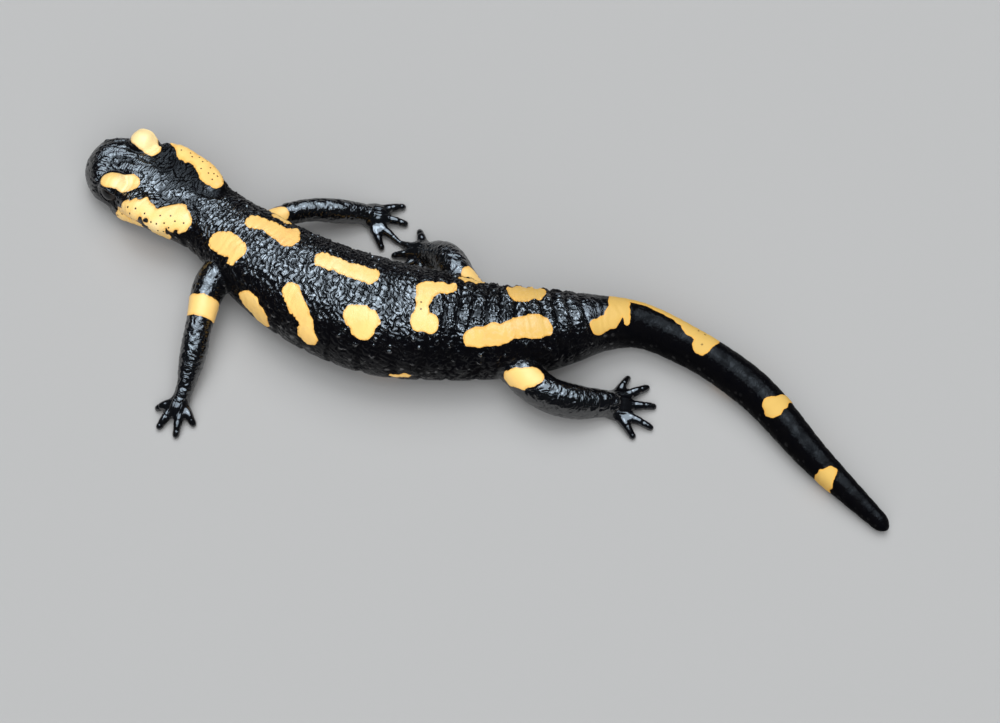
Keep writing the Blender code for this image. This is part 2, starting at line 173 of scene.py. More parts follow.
bodyForm = {
    # x, y, height of the widest level, half width, rise to the back, drop to the belly
    "stations": (
        (-81.0, 40.8, 4.1, 5.2, 3.2, 2.7),  # snout
        (-77.2, 40.2, 4.4, 6.5, 3.8, 3.2),
        (-72.7, 39.0, 4.6, 7.8, 4.1, 3.5),  # eyes
        (-67.9, 36.4, 5.0, 8.1, 4.4, 4.2),
        (-62.6, 33.0, 5.3, 8.1, 4.6, 4.8),  # parotoid glands
        (-57.7, 29.5, 5.6, 7.4, 4.8, 5.2),
        (-53.4, 25.9, 6.0, 7.4, 5.3, 5.8),  # neck
        (-48.9, 21.6, 6.6, 8.4, 6.4, 6.8),
        (-43.0, 16.2, 7.1, 9.6, 7.5, 7.4),  # chest
        (-31.4, 8.8, 7.4, 11.0, 8.8, 7.8),
        (-21.9, 5.2, 7.5, 11.3, 9.0, 7.9),  # belly
        (-12.2, 3.7, 7.2, 10.6, 8.7, 7.6),
        (-3.2, 2.7, 6.8, 9.3, 8.0, 7.2),
        (5.6, 3.0, 6.3, 8.3, 7.4, 6.7),  # pelvis
        (12.6, 4.2, 5.7, 6.9, 6.6, 6.0),
        (18.6, 5.4, 5.0, 5.3, 5.8, 5.3),  # root of the tail
        (25.2, 5.6, 4.4, 4.2, 4.9, 4.6),
        (35.5, 1.1, 3.9, 3.6, 4.2, 4.05),
        (46.5, -7.1, 3.6, 3.65, 3.9, 3.75),
        (58.8, -22.4, 2.75, 2.85, 3.0, 2.9),
        (71.1, -35.7, 1.4, 1.5, 1.6, 1.5),  # tip of the tail
    ),
    "snoutRounding": 4.2,
    "tailRounding": 2.6,
    "squareness": 2.25,  # exponent of the section's rounded square
    # place along, degrees above the side, half length, half spread, height, on both sides
    "swellings": (
        (15.8, 36, 4.2, 23, 1.9),  # parotoid gland, front
        (22.6, 33, 4.4, 24, 2.2),  # parotoid gland, rear
        (12.6, -12, 4.2, 26, 0.95),  # corner of the jaw
        (5.4, 48, 2.6, 22, 0.35),  # brow
        (21.0, -55, 6.0, 35, 0.4),  # throat
    ),
    "ringStep": 0.5,
    "noseRings": 20,
    "tipRings": 12,
    "endGap": 0.02,  # radians left open at each end, which a flat face closes
    "sides": 144,
}

stations = np.array(bodyForm["stations"])
stationLengths = lengthsAlong(stations[:, :2])
bodyLength = stationLengths[-1]


def spineFrame(at):
    here = hermite(stationLengths, stations, at)
    ahead = hermite(stationLengths, stations, np.minimum(np.asarray(at) + 0.5, bodyLength))[:, :2]
    behind = hermite(stationLengths, stations, np.maximum(np.asarray(at) - 0.5, 0.0))[:, :2]
    tailward = ahead - behind
    tailward /= np.linalg.norm(tailward, axis=1)[:, None]
    return here, tailward, np.stack([-tailward[:, 1], tailward[:, 0]], axis=1)


def endRounding(at):
    nearSnout = np.clip(at / bodyForm["snoutRounding"], 0, 1)
    nearTip = np.clip((bodyLength - at) / bodyForm["tailRounding"], 0, 1)
    return np.sqrt(1 - (1 - nearSnout) ** 2) * np.sqrt(1 - (1 - nearTip) ** 2)


def swellingAt(at, angle):
    degrees = np.degrees(np.where(np.cos(angle) >= 0, angle, math.pi - angle))
    degrees = (degrees + 180) % 360 - 180
    rise = np.zeros_like(at * angle)
    for place, above, halfLength, halfSpread, height in bodyForm["swellings"]:
        rise += height * bump(at, place, halfLength) * bump(degrees, above, halfSpread)
    return rise


def signedPower(value, exponent):
    return np.sign(value) * np.abs(value) ** exponent


def bodyMesh():
    # one closed loft along the spine, fine enough to need no corners rounded
    snout, tail, gap = bodyForm["snoutRounding"], bodyForm["tailRounding"], bodyForm["endGap"]
    nose = snout * (1 - np.cos(np.linspace(gap, math.pi / 2, bodyForm["noseRings"])))[:-1]
    middle = np.arange(snout, bodyLength - tail, bodyForm["ringStep"])
    tip = bodyLength - tail * (1 - np.sin(np.linspace(0, math.pi / 2 - gap, bodyForm["tipRings"])))
    at = np.concatenate([nose, middle, tip])
    angle = np.linspace(0, 2 * math.pi, bodyForm["sides"], endpoint=False)
    here, _, right = spineFrame(at)
    share = endRounding(at)[:, None]
    swell = swellingAt(at[:, None], angle[None, :])
    power = 2 / bodyForm["squareness"]
    side = signedPower(np.cos(angle), power)[None, :]
    lift = signedPower(np.sin(angle), power)[None, :]
    out = share * (here[:, 3:4] * side + swell * np.cos(angle))
    tall = np.where(lift > 0, here[:, 4:5], here[:, 5:6])
    up = share * (tall * lift + swell * np.sin(angle))
    x, y = (here[:, k:k + 1] + out * right[:, k:k + 1] for k in (0, 1))
    points = np.stack([x, y, here[:, 2:3] + up], -1)
    rings, sides = points.shape[:2]
    number = np.arange(rings * sides).reshape(rings, sides)
    beside = np.roll(number, -1, axis=1)
    walls = np.stack([number[:-1], beside[:-1], beside[1:], number[1:]], axis=-1).reshape(-1, 4)
    ends = [number[0, ::-1].tolist(), number[-1].tolist()]
    return meshFrom("body", points.reshape(-1, 3), walls.tolist() + ends)


# A fine table of the spine, to find any point's place along and round the body.
tableStep = 0.25
tablePlaces = np.arange(0, bodyLength, tableStep)
tableRows, tableTail, tableRight = spineFrame(tablePlaces)


def bodyPlaces(points):
    # place along the spine, turn from the back's middle (right side positive), turn times girth,
    # distance outside the body, and the point's place on the body laid straight
    near = np.empty(len(points), np.int64)
    portion, coarse = 20000, 4
    tableX, tableY = tableRows[None, ::coarse, 0], tableRows[None, ::coarse, 1]
    for start in range(0, len(points), portion):
        part = points[start:start + portion, :2]
        away = (part[:, :1] - tableX) ** 2 + (part[:, 1:2] - tableY) ** 2
        near[start:start + portion] = away.argmin(axis=1) * coarse
    at = tablePlaces[near]
    for _ in range(3):
        i = np.clip(np.rint(at / tableStep).astype(int), 0, len(tablePlaces) - 1)
        slip = points[:, :2] - tableRows[i, :2]
        at = np.clip(tablePlaces[i] + (slip * tableTail[i]).sum(axis=1), 0, bodyLength)
    row = np.stack([np.interp(at, tablePlaces, tableRows[:, k]) for k in range(6)], axis=1)
    right = np.stack([np.interp(at, tablePlaces, tableRight[:, k]) for k in range(2)], axis=1)
    out = ((points[:, :2] - row[:, :2]) * right).sum(axis=1)
    up = points[:, 2] - row[:, 2]
    tall = np.where(up > 0, row[:, 4], row[:, 5])
    turn = np.arctan2(out / row[:, 3], up / tall)
    power = bodyForm["squareness"]
    fullness = (np.abs(out / row[:, 3]) ** power + np.abs(up / tall) ** power) ** (1 / power) + 1e-6
    radius = np.hypot(out, up)
    outside = radius * (1 - endRounding(at) / fullness)
    girth = (row[:, 3] + row[:, 4]) / 2
    straight = np.stack([at, girth * np.sin(turn), girth * np.cos(turn)], axis=1)
    return {"along": at, "turn": turn, "across": turn * girth, "outside": outside, "straight": straight}


legForm = {
    # bones as x, y, height, radius; palm as x, y, heading in degrees, half length, half width;
    # digit tips as x, y
    "foreRight": {
        "bones": ((-47.0, 22.5, 6.2, 3.3), (-42.6, 28.2, 5.8, 2.4), (-37.2, 30.4, 5.2, 2.25),
                  (-31.4, 31.0, 3.9, 2.4), (-27.4, 31.4, 2.5, 2.1)),
        "palm": (-24.6, 31.4, -14, 3.2, 2.8),
        "digits": ((-19.0, 33.9), (-18.5, 30.0), (-19.9, 26.0), (-23.0, 24.7)),
    },
    "foreLeft": {
        "bones": ((-50.6, 18.4, 6.2, 3.6), (-54.7, 13.6, 6.4, 3.4), (-56.6, 5.8, 6.0, 2.65),
                  (-57.9, -1.4, 4.3, 2.55), (-59.2, -7.0, 2.5, 1.75)),
        "palm": (-60.3, -9.9, -112, 2.9, 2.0),
        "digits": ((-64.3, -10.3), (-63.8, -14.2), (-60.6, -16.0), (-57.5, -13.6)),
    },
    "hindRight": {
        "bones": ((-2.6, 6.6, 6.2, 3.8), (-6.6, 12.4, 7.0, 3.2), (-9.6, 18.2, 6.5, 3.15),
                  (-11.6, 21.0, 4.3, 2.8), (-13.2, 22.3, 2.5, 2.3)),
        "palm": (-15.0, 22.9, 168, 3.1, 2.9),
        "digits": ((-15.6, 28.2), (-18.7, 25.3), (-20.6, 22.9), (-19.1, 19.9), (-15.6, 18.3)),
    },
    "hindLeft": {
        "bones": ((0.6, 1.6, 6.2, 4.4), (3.6, -5.0, 6.3, 3.8), (8.4, -9.5, 5.6, 3.4),
                  (14.0, -10.7, 4.1, 3.3), (19.0, -10.3, 2.7, 2.7)),
        "palm": (21.8, -10.0, 4, 3.3, 3.3),
        "digits": ((24.2, -3.9), (27.7, -6.0), (28.9, -10.0), (28.2, -14.4), (24.8, -16.2)),
    },
}
handForm = {
    "palmHeight": 1.75,  # half thickness
    "palmSink": 0.82,
    "wristTaper": 0.8,
    "digitRootRadius": 1.12,
    "digitTipRadius": 0.82,
    "digitRootLift": 0.35,
    "digitArch": 0.5,
    "digitRootSpread": 0.42,
    "digitRootAhead": 0.2,
    "digitSink": 0.78,  # under 1, so that a digit ends flat on the floor
}


def taperedTube(rows):
    # a closed tube through x, y, height, radius rows
    curve = bpy.data.curves.new("tube", "CURVE")
    curve.dimensions = "3D"
    curve.bevel_depth = 1.0
    curve.bevel_resolution = 8
    curve.resolution_u = 16
    curve.use_fill_caps = True
    spline = curve.splines.new("BEZIER")
    spline.bezier_points.add(len(rows) - 1)
    for knot, (x, y, z, radius) in zip(spline.bezier_points, rows):
        knot.co = (x, y, z)
        knot.radius = radius
        knot.handle_left_type = knot.handle_right_type = "AUTO"
    spline.radius_interpolation = "CARDINAL"
    guide = newObject("tube", curve)
    mesh = applied(guide)
    bpy.data.objects.remove(guide)
    return mesh


def digitRows(palm, tip):
    x, y, heading = palm[:3]
    ahead = Vector((math.cos(math.radians(heading)), math.sin(math.radians(heading))))
    beside = Vector((-ahead.y, ahead.x))
    reach = Vector(tip) - Vector((x, y))
    root = Vector((x, y)) + beside * reach.dot(beside) * handForm["digitRootSpread"]
    root += ahead * reach.dot(ahead) * handForm["digitRootAhead"]
    thick, thin = handForm["digitRootRadius"], handForm["digitTipRadius"]
    lifts = (handForm["digitRootLift"], handForm["digitArch"], 0.0)
    rows = []
    for share, lift, radius in zip((0.0, 0.5, 1.0), lifts, (thick, (thick + thin) / 2, thin)):
        place = root.lerp(Vector(tip), share)
        rows.append((place.x, place.y, radius * handForm["digitSink"] + lift, radius))
    return rows


def ballMesh(centre, radius, stretch=(1, 1, 1), heading=0.0):
    bm = bmesh.new()
    bmesh.ops.create_uvsphere(bm, u_segments=48, v_segments=32, radius=radius)
    bmesh.ops.scale(bm, verts=bm.verts, vec=stretch)
    turn = Matrix.Rotation(math.radians(heading), 3, "Z")
    bmesh.ops.rotate(bm, verts=bm.verts, cent=(0, 0, 0), matrix=turn)
    bmesh.ops.translate(bm, verts=bm.verts, vec=Vector(centre))
    mesh = bpy.data.meshes.new("ball")
    bm.to_mesh(mesh)
    bm.free()
    return mesh


def legMeshes(leg):
    palm, lastBone = leg["palm"], leg["bones"][-1]
    height = handForm["palmHeight"]
    wristEnd = (palm[0], palm[1], height, lastBone[3] * handForm["wristTaper"])
    meshes = [taperedTube(leg["bones"]), taperedTube((lastBone, wristEnd))]
    middle = (palm[0], palm[1], height * handForm["palmSink"])
    meshes.append(ballMesh(middle, 1.0, (palm[3], palm[4], height), palm[2]))
    for tip in leg["digits"]:
        rows = digitRows(palm, tip)
        meshes += [taperedTube(rows), ballMesh((*tip, rows[-1][2]), rows[-1][3])]
    return meshes


def chainTable(rows, step=0.4):
    rows = np.array(rows, float)
    knots = lengthsAlong(rows[:, :3])
    at = np.arange(0, knots[-1], step)
    return at, hermite(knots, rows, at)


def legPlaces(points, leg):
    # place along the leg from the shoulder or hip, turn from its upper side, distance outside it
    palm = leg["palm"]
    height = handForm["palmHeight"]
    at, rows = chainTable(leg["bones"] + ((palm[0], palm[1], height, palm[4] * 0.9),))
    ahead = np.gradient(rows[:, :3], axis=0)
    ahead /= np.linalg.norm(ahead, axis=1)[:, None]
    away = np.linalg.norm(points[:, None, :] - rows[None, :, :3], axis=2)
    near = (away - rows[None, :, 3]).argmin(axis=1)
    index = np.arange(len(points))
    slip = points - rows[near, :3]
    beside = np.cross(ahead[near], (0, 0, 1.0))
    beside /= np.linalg.norm(beside, axis=1)[:, None]
    above = np.cross(beside, ahead[near])
    turn = np.arctan2((slip * beside).sum(axis=1), (slip * above).sum(axis=1))
    outside = away[index, near] - rows[near, 3]
    along = at[near] + np.clip((slip * ahead[near]).sum(axis=1), -0.4, 0.4)
    digit = np.full(len(points), 9.0)
    digitAlong = np.zeros(len(points))
    for tip in leg["digits"]:
        spots, digitTable = chainTable(digitRows(palm, tip), 0.3)
        gap = np.linalg.norm(points[:, None, :] - digitTable[None, :, :3], axis=2)
        gap -= digitTable[None, :, 3]
        nearest = gap.argmin(axis=1)
        closer = gap[index, nearest] < digit
        digit = np.where(closer, gap[index, nearest], digit)
        digitAlong = np.where(closer, spots[nearest], digitAlong)
    return {"along": along, "turn": turn, "radius": rows[near, 3], "outside": np.minimum(outside, digit),
            "digit": digit, "digitAlong": digitAlong, "length": at[-1]}


eyeForm = {
    "middle": (-72.15, 39.4),  # between the two eyes
    "headHeading": 152.0,  # degrees
    "out": 5.6,
    "height": 6.9,
    "looks": (0.08, 0.93, 0.22),  # forward, out, up
    "radius": 2.35,
    "lidRadius": 3.1,
    "forwardOfLid": 0.4,
}


def eyePlaces():
    heading = math.radians(eyeForm["headHeading"])
    forward = Vector((math.cos(heading), math.sin(heading), 0))
    for side, sign in (("right", 1), ("left", -1)):
        out = Vector((forward.y, -forward.x, 0)) * sign
        ahead, outward, upward = eyeForm["looks"]
        looks = (forward * ahead + out * outward + Vector((0, 0, upward))).normalized()
        lid = Vector((*eyeForm["middle"], eyeForm["height"])) + out * eyeForm["out"]
        places = {"lid": lid, "ball": lid + looks * eyeForm["forwardOfLid"], "looks": looks,
                  "forward": forward, "out": out}
        yield {"side": side, **{name: np.array(place) for name, place in places.items()}}


eyes = list(eyePlaces())

# The move from the drawing's place to the model's place, read at the left eye.
low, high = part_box("eye_left")
leftBall = [eye for eye in eyes if eye["side"] == "left"][0]["ball"]
shift = Vector(((low.x + high.x) / 2 - leftBall[0] * mm, (low.y + high.y) / 2 - leftBall[1] * mm, 0))


def intoPlace(obj):
    obj.data.transform(Matrix.Translation(shift) @ Matrix.Scale(mm, 4))
    obj.data.update()


skinForm = {
    "voxel": 0.17,
    "roundsAll": 8,  # of smoothing, which fills the angles where the shapes meet
    "roundsLegs": 28,
    "headEnd": 31.0,  # the finer mesh of the head ends here, and that of the back further on
    "backEnd": 106.0,
    "backHalf": 1.0,  # how far round the back it reaches
    "eyeReach": 4.0,
    "lidOpening": (2.15, 1.62),  # half length and half height between the lids
    "lidOpeningLift": -0.28,
    "lidThickness": 0.22,
    "lidRim": 0.1,
    # in shares of the opening: where its edge lies, and where the lid meets the skin round it
    "lidEdge": (0.94, 1.12),
    "lidEnd": (1.35, 1.6),
    "behindLids": 0.3,  # how far inside the eyeball the skin is sunk
}


def meltedSkin():
    meshes = [bodyMesh()]
    for leg in legForm.values():
        meshes += legMeshes(leg)
    for eye in eyes:
        meshes.append(ballMesh(eye["lid"], eyeForm["lidRadius"]))
    bm = bmesh.new()
    for mesh in meshes:
        bm.from_mesh(mesh)
        bpy.data.meshes.remove(mesh)
    mesh = bpy.data.meshes.new("skin")
    bm.to_mesh(mesh)
    bm.free()
    whole = newObject("whole", mesh)
    remesh = whole.modifiers.new("melt", "REMESH")
    remesh.mode = "VOXEL"
    remesh.voxel_size = skinForm["voxel"]
    melted = applied(whole)
    bpy.data.objects.remove(whole)
    return melted


def refine(mesh, wanted):
    # splits each wanted face in four
    bm = bmesh.new()
    bm.from_mesh(mesh)
    bm.verts.ensure_lookup_table()
    edges = [e for e in bm.edges if wanted[e.verts[0].index] and wanted[e.verts[1].index]]
    bmesh.ops.subdivide_edges(bm, edges=edges, cuts=1, use_grid_fill=True)
    bm.to_mesh(mesh)
    bm.free()
    mesh.update()


def allLegPlaces(points, body):
    # the nearest leg's coordinates for points near a leg, and a share from 1 on the body to 0 on a leg
    result = {key: np.zeros(len(points)) for key in ("along", "turn", "radius", "digitAlong", "length")}
    result["outside"] = np.full(len(points), 50.0)
    result["digit"] = np.full(len(points), 9.0)
    result["index"] = np.full(len(points), -1)
    for index, leg in enumerate(legForm.values()):
        corners = np.array([b[:2] for b in leg["bones"]] + list(leg["digits"]) + [leg["palm"][:2]])
        low, high = corners.min(axis=0) - 6, corners.max(axis=0) + 6
        near = np.all((points[:, :2] > low) & (points[:, :2] < high), axis=1).nonzero()[0]
        places = legPlaces(points[near], leg)
        closer = places["outside"] < result["outside"][near]
        chosen = near[closer]
        for key, values in places.items():
            result[key][chosen] = values if np.isscalar(values) else values[closer]
        result["index"][chosen] = index
    result["bodyShare"] = smoothStep(-0.8, 0.8, result["outside"] - body["outside"])
    return result


print("melting the shapes into one skin")
skinMesh = meltedSkin()
points, edges = meshPoints(skinMesh), meshEdges(skinMesh)
print("  melted:", len(points), "points")
body = bodyPlaces(points)
legs = allLegPlaces(points, body)
points = relax(points, edges, np.full(len(points), 0.5), skinForm["roundsAll"])
points = relax(points, edges, 0.5 * (1 - legs["bodyShare"]), skinForm["roundsLegs"])
points = relax(points, edges, np.full(len(points), 0.5), 2)
setPoints(skinMesh, points)

inHead = body["along"] < skinForm["headEnd"]
onBack = (body["along"] < skinForm["backEnd"]) & (np.abs(body["turn"]) < skinForm["backHalf"])
refine(skinMesh, (inHead | onBack) & (legs["bodyShare"] > 0.5))
points = meshPoints(skinMesh)
nearEye = np.zeros(len(points), bool)
for eye in eyes:
    nearEye |= distanceTo(points, eye["lid"]) < skinForm["eyeReach"]
refine(skinMesh, nearEye)
points, edges = meshPoints(skinMesh), meshEdges(skinMesh)
print("  refined at the head and back:", len(points), "points")

body = bodyPlaces(points)
legs = allLegPlaces(points, body)
onBody = legs["bodyShare"]
along, across, turn = body["along"], body["across"], body["turn"]
onBack = (along < skinForm["backEnd"] + 1) & (np.abs(turn) < skinForm["backHalf"] + 0.1)
fine = (along < skinForm["headEnd"] + 1) | onBack
points = relax(points, edges, 0.5 * fine * (onBody > 0.2), 6)
setPoints(skinMesh, points)


def openLids(points):
    # sinks the skin inside the eyeball within the opening between the lids, and rounds the lids' edges
    form = skinForm
    halfLength, halfHeight = form["lidOpening"]
    ballRadius = eyeForm["radius"]
    for eye in eyes:
        looks = eye["looks"]
        forward = eye["forward"]
        forward = forward - looks * forward.dot(looks)
        forward /= np.linalg.norm(forward)
        above = np.cross(looks, forward)
        above *= np.sign(above[2])
        away = points - eye["ball"]
        distance = np.linalg.norm(away, axis=1)
        facing = away @ looks > 0
        lifted = away @ above - form["lidOpeningLift"]
        share = np.hypot(away @ forward / halfLength, lifted / halfHeight)
        share = np.where(facing & (distance < form["eyeReach"] + 1), share, 9.0)
        inner = ballRadius - form["behindLids"]
        lifted = np.maximum(distance, ballRadius + form["lidThickness"])
        lifted += form["lidRim"] * bump(share, 1.2, 0.12)
        wanted = inner + (lifted - inner) * smoothStep(*form["lidEdge"], share)
        blended = wanted + (distance - wanted) * smoothStep(*form["lidEnd"], share)
        wanted = np.where(share < form["lidEnd"][1], blended, distance)
        points = eye["ball"] + away * (wanted / distance)[:, None]
    return points


reliefForm = {
    "foldPitch": 1.3,  # creases across the front of the trunk
    "foldDepth": 0.18,
    "creaseWidth": 0.19,
    "creaseLip": 0.25,  # share of the depth that stands up beside a crease
    "lipSpread": 2.4,  # width of that lip in crease widths
    "rearCalm": 0.7,  # how much weaker the creases are at the rear
    "piecePitch": 1.25,  # cuts that part each fold into pieces
    "pieceSlant": 0.55,
    "pieceDepth": 0.8,
    "foldRound": 0.045,
    "sway": 0.9,  # how far the creases bend aside, slowly and tightly
    "curl": 0.62,
    "rowPitch": 2.6,  # rows of small ridges across the rear of the trunk
    "rowHeight": 0.38,
    "rowRidge": 0.12,
    "curlHeight": 0.15,  # winding ridges on those rows
    "wormHeight": 0.045,  # winding ridges all over the back
    "granuleHeight": 0.28,  # single round granules on the flanks
    "granuleRadius": 0.38,
    "granuleSpacing": 2.2,
    "granulesFrom": (0.35, 0.6),  # turns round the body
    "granulesTo": (1.1, 1.5),
    "rightGranules": 0.25,  # how far they go on below that on the right
    "costalPitch": 4.9,
    "costalDepth": 0.30,
    "costalWidth": 0.55,
    "costalFrom": (0.75, 1.15),
    "tailRingPitch": 3.1,
    "tailRingDepth": 0.06,
    "tailRingWidth": 0.5,
    "throatFrom": (0.9, 1.5),
    "throatFolds": ((28.6, 0.38, 0.6), (31.6, 0.16, 0.5), (34.2, 0.14, 0.5)),  # place, depth, width
    "parotoidRise": 0.15,
    "rightGlandSlack": 0.6,  # the right gland lies flatter
    "patchRise": 0.06,
    "patchFold": 0.022,
}


partForm = {
    # places along the body, or turns round it, between which it passes from one part to the next
    "neck": (27.0, 33.0),
    "ridgeRows": (73.0, 82.0),
    "trunkEnd": (104.0, 112.0),
    "tailStart": (104.0, 114.0),
    "backToSide": (1.0, 1.8),
    "sideToBelly": (2.0, 2.4),
    "behindShoulder": (44.0, 49.0),
    "beforeHip": (97.0, 103.0),
    "brow": (9.0, 15.0),
    "crown": (11.0, 16.0),
}

turned = np.abs(turn)
behindNeck = smoothStep(*partForm["neck"], along)
atRear = smoothStep(*partForm["ridgeRows"], along)
onTrunk = behindNeck * fadeOut(*partForm["trunkEnd"], along)
onTail = smoothStep(*partForm["tailStart"], along)
upperSide = fadeOut(*partForm["backToSide"], turned)
aboveBelly = fadeOut(*partForm["sideToBelly"], turned)


def chainField(place, rows):
    # how far inside a chain of joined discs each place lies; rows are coordinates and a radius
    rows = [np.array(row, float) for row in rows]
    best = np.full(len(place), -50.0)
    for first, last in zip(rows[:-1] or rows, rows[1:] or rows):
        span = last[:-1] - first[:-1]
        length = max(span.dot(span), 1e-9)
        share = np.clip((place - first[:-1]) @ span / length, 0, 1)
        centre = first[:-1] + share[:, None] * span
        radius = first[-1] + share * (last[-1] - first[-1])
        best = np.maximum(best, radius - np.linalg.norm(place - centre, axis=1))
    return best


glandForm = {
    # the parotoid glands on both sides: place along, distance across, half width
    "ridge": ((13.6, 5.6, 1.9), (17.5, 5.9, 2.3), (22.0, 5.6, 2.6), (25.6, 4.6, 2.1)),
    "poreRadius": 0.17,
    "poreDepth": 0.12,
    # pores as place along and distance across, the left side negative
    "pores": (
        (12.1, -10.1), (13.2, -8.8), (15.4, -5.3), (16.2, -5.9), (16.5, -6.9), (17.1, -5.0), (19.3, -5.1),
        (21.3, -5.6), (22.5, -5.5), (22.3, -4.5), (23.8, -5.1), (24.0, -4.1), (25.4, -4.5), (25.0, -5.6),
        (27.1, -4.4), (23.1, -6.7), (24.2, -6.6), (18.2, -8.6), (21.9, -8.4), (24.6, -8.2),
        (16.3, 4.7), (18.0, 5.1), (18.8, 4.7), (19.9, 5.3), (21.1, 4.9), (21.6, 5.5), (23.2, 4.8),
        (21.9, 4.0), (23.7, 4.1), (24.5, 4.6), (25.3, 4.9), (25.1, 3.9), (17.0, 6.6), (19.4, 7.2),
        (22.6, 7.4), (20.8, 8.6), (24.2, 6.6),
        (77.4, -0.1), (77.6, -1.4), (129.5, 2.6), (130.9, 2.4), (131.6, -0.3),
    ),
}

surface = np.stack([along, across], axis=1)
gland = chainField(np.stack([along, np.abs(across)], axis=1), glandForm["ridge"])


def poreField():
    # distance from the nearest pore
    spots = np.full(len(points), 9.0)
    for place in glandForm["pores"]:
        middle = points[distanceTo(surface, place).argmin()]
        spots = np.minimum(spots, distanceTo(points, middle))
    return spots


def wormRidges(places, seed, sharpness):
    # winding ridges with darker valleys between them
    return np.exp(-(gradientNoise(places, seed) / sharpness) ** 2)


def dashes(places, seed, sharpness, fullness=0.55):
    # winding grooves broken into short lengths
    lengths = np.clip(fullness + 1.3 * gradientNoise(places * 0.8, seed + 50), 0, 1)
    return wormRidges(places, seed, sharpness) * lengths


def creasedFolds(phase):
    # from 0 in the sharp creases to 1 on the round crests
    return np.abs(np.cos(math.pi * phase))


def scattered(place, spacing, radius, seed):
    # small round heights, one in each cell of a loose grid, each in its own place and of its own height
    cell = np.floor(place / spacing).astype(np.int64)
    height = np.zeros(len(place))
    for step in np.ndindex(3, 3):
        near = cell + np.array(step) - 1
        key = hashed(near, seed)
        jitter = np.stack([(key >> 3) % 256 / 255, (key >> 11) % 256 / 255], axis=1)
        size = 0.35 + 0.65 * ((key >> 19) % 256 / 255)
        away = np.linalg.norm(place - (near + jitter) * spacing, axis=1)
        height = np.maximum(height, size * np.exp(-(away / (radius * size)) ** 2))
    return height


def grooves(phase, pitch, width):
    # narrow grooves at each whole number of the phase
    return np.exp(-((phase - np.round(phase)) * pitch / width) ** 2)


def bodyCreases():
    # the creases across the back, and the cuts between them that part each fold into pieces
    form = reliefForm
    straight = body["straight"]
    pitch, width = form["foldPitch"], form["creaseWidth"]
    bend = form["sway"] * gradientNoise(straight / 2.4, 11)
    bend += form["curl"] * gradientNoise(straight / 1.1, 12)
    phase = (along + bend) / pitch
    fold = np.floor(phase)
    beside = across + form["pieceSlant"] * (phase - fold) * pitch
    beside += 0.5 * gradientNoise(straight / 1.2, 31)
    cutPhase = beside / form["piecePitch"] + 0.5 * fold + 0.3 * np.sin(fold * 2.4)
    creaseDepth = np.clip(0.6 + 1.5 * gradientNoise(straight / (0.8, 1.0, 1.0), 13), 0, 1)
    cutDepth = form["pieceDepth"] * np.clip(0.6 + 1.5 * gradientNoise(straight / 0.9, 32), 0, 1)
    where = onTrunk * (1 - form["rearCalm"] * atRear)

    def cuts(spread):
        crosswise = grooves(cutPhase, form["piecePitch"], spread) * cutDepth
        return np.maximum(grooves(phase, pitch, spread) * creaseDepth, crosswise)

    sharp, wide = cuts(width), cuts(form["lipSpread"] * width)
    rounding = np.cos(2 * math.pi * phase) + 0.6 * np.cos(2 * math.pi * cutPhase)
    return (sharp - form["creaseLip"] * wide) * where, rounding * where


def curlsAtRear():
    straight = body["straight"]
    curls = wormRidges(straight / (0.85, 0.95, 0.95), 38, 0.26)
    curls *= np.clip(0.65 + 1.2 * gradientNoise(straight / 0.9, 39), 0, 1)
    return curls * atRear * onTrunk


def bodyRelief():
    form = reliefForm
    straight = body["straight"]
    sway = gradientNoise(straight / 2.4, 11)
    ridged = upperSide * onTrunk * atRear
    shape = -(form["foldDepth"] * crease + form["foldRound"] * foldWave) * (0.3 + 0.7 * upperSide)
    # rows of small ridges along the body, across the rear of the trunk
    row = creasedFolds((along + 0.35 * sway) / form["rowPitch"])
    ridges = gradientNoise(straight / (1.5, 0.42, 0.42), 14)
    shape += (form["rowHeight"] * (row - 0.6) + form["rowRidge"] * ridges * row) * ridged
    winding = straight + 0.8 * sway[:, None] * np.array((1.0, -0.6, 0.4))
    worms = wormRidges(winding / (0.45, 1.2, 1.2), 1, 0.3)
    shape += form["wormHeight"] * worms * (0.2 + 0.8 * upperSide) * (1 - 0.7 * onTail)
    shape += form["curlHeight"] * rearCurls * upperSide
    # granules on the flanks, which end higher on the left
    side = smoothStep(*form["granulesFrom"], turned) * aboveBelly * (1 - onTail)
    side *= 1 - smoothStep(*form["granulesTo"], turned) * (1 - form["rightGranules"] * (turn > 0))
    shape += form["granuleHeight"] * granules * side
    # grooves between the ribs, from the side of the back down round the flank
    flank = smoothStep(*form["costalFrom"], turned) * aboveBelly
    flank *= smoothStep(*partForm["behindShoulder"], along) * fadeOut(*partForm["beforeHip"], along)
    phase = (along + 0.5 * sway) / form["costalPitch"]
    shape -= form["costalDepth"] * grooves(phase, form["costalPitch"], form["costalWidth"]) * flank
    # rings round the tail
    phase = (along + 0.4 * sway) / form["tailRingPitch"]
    rings = grooves(phase, form["tailRingPitch"], form["tailRingWidth"])
    shape -= form["tailRingDepth"] * rings * onTail
    under = smoothStep(*form["throatFrom"], turned)
    for place, depth, width in form["throatFolds"]:
        shape -= depth * bump(along + 0.35 * sway, place, width) * under
    return shape


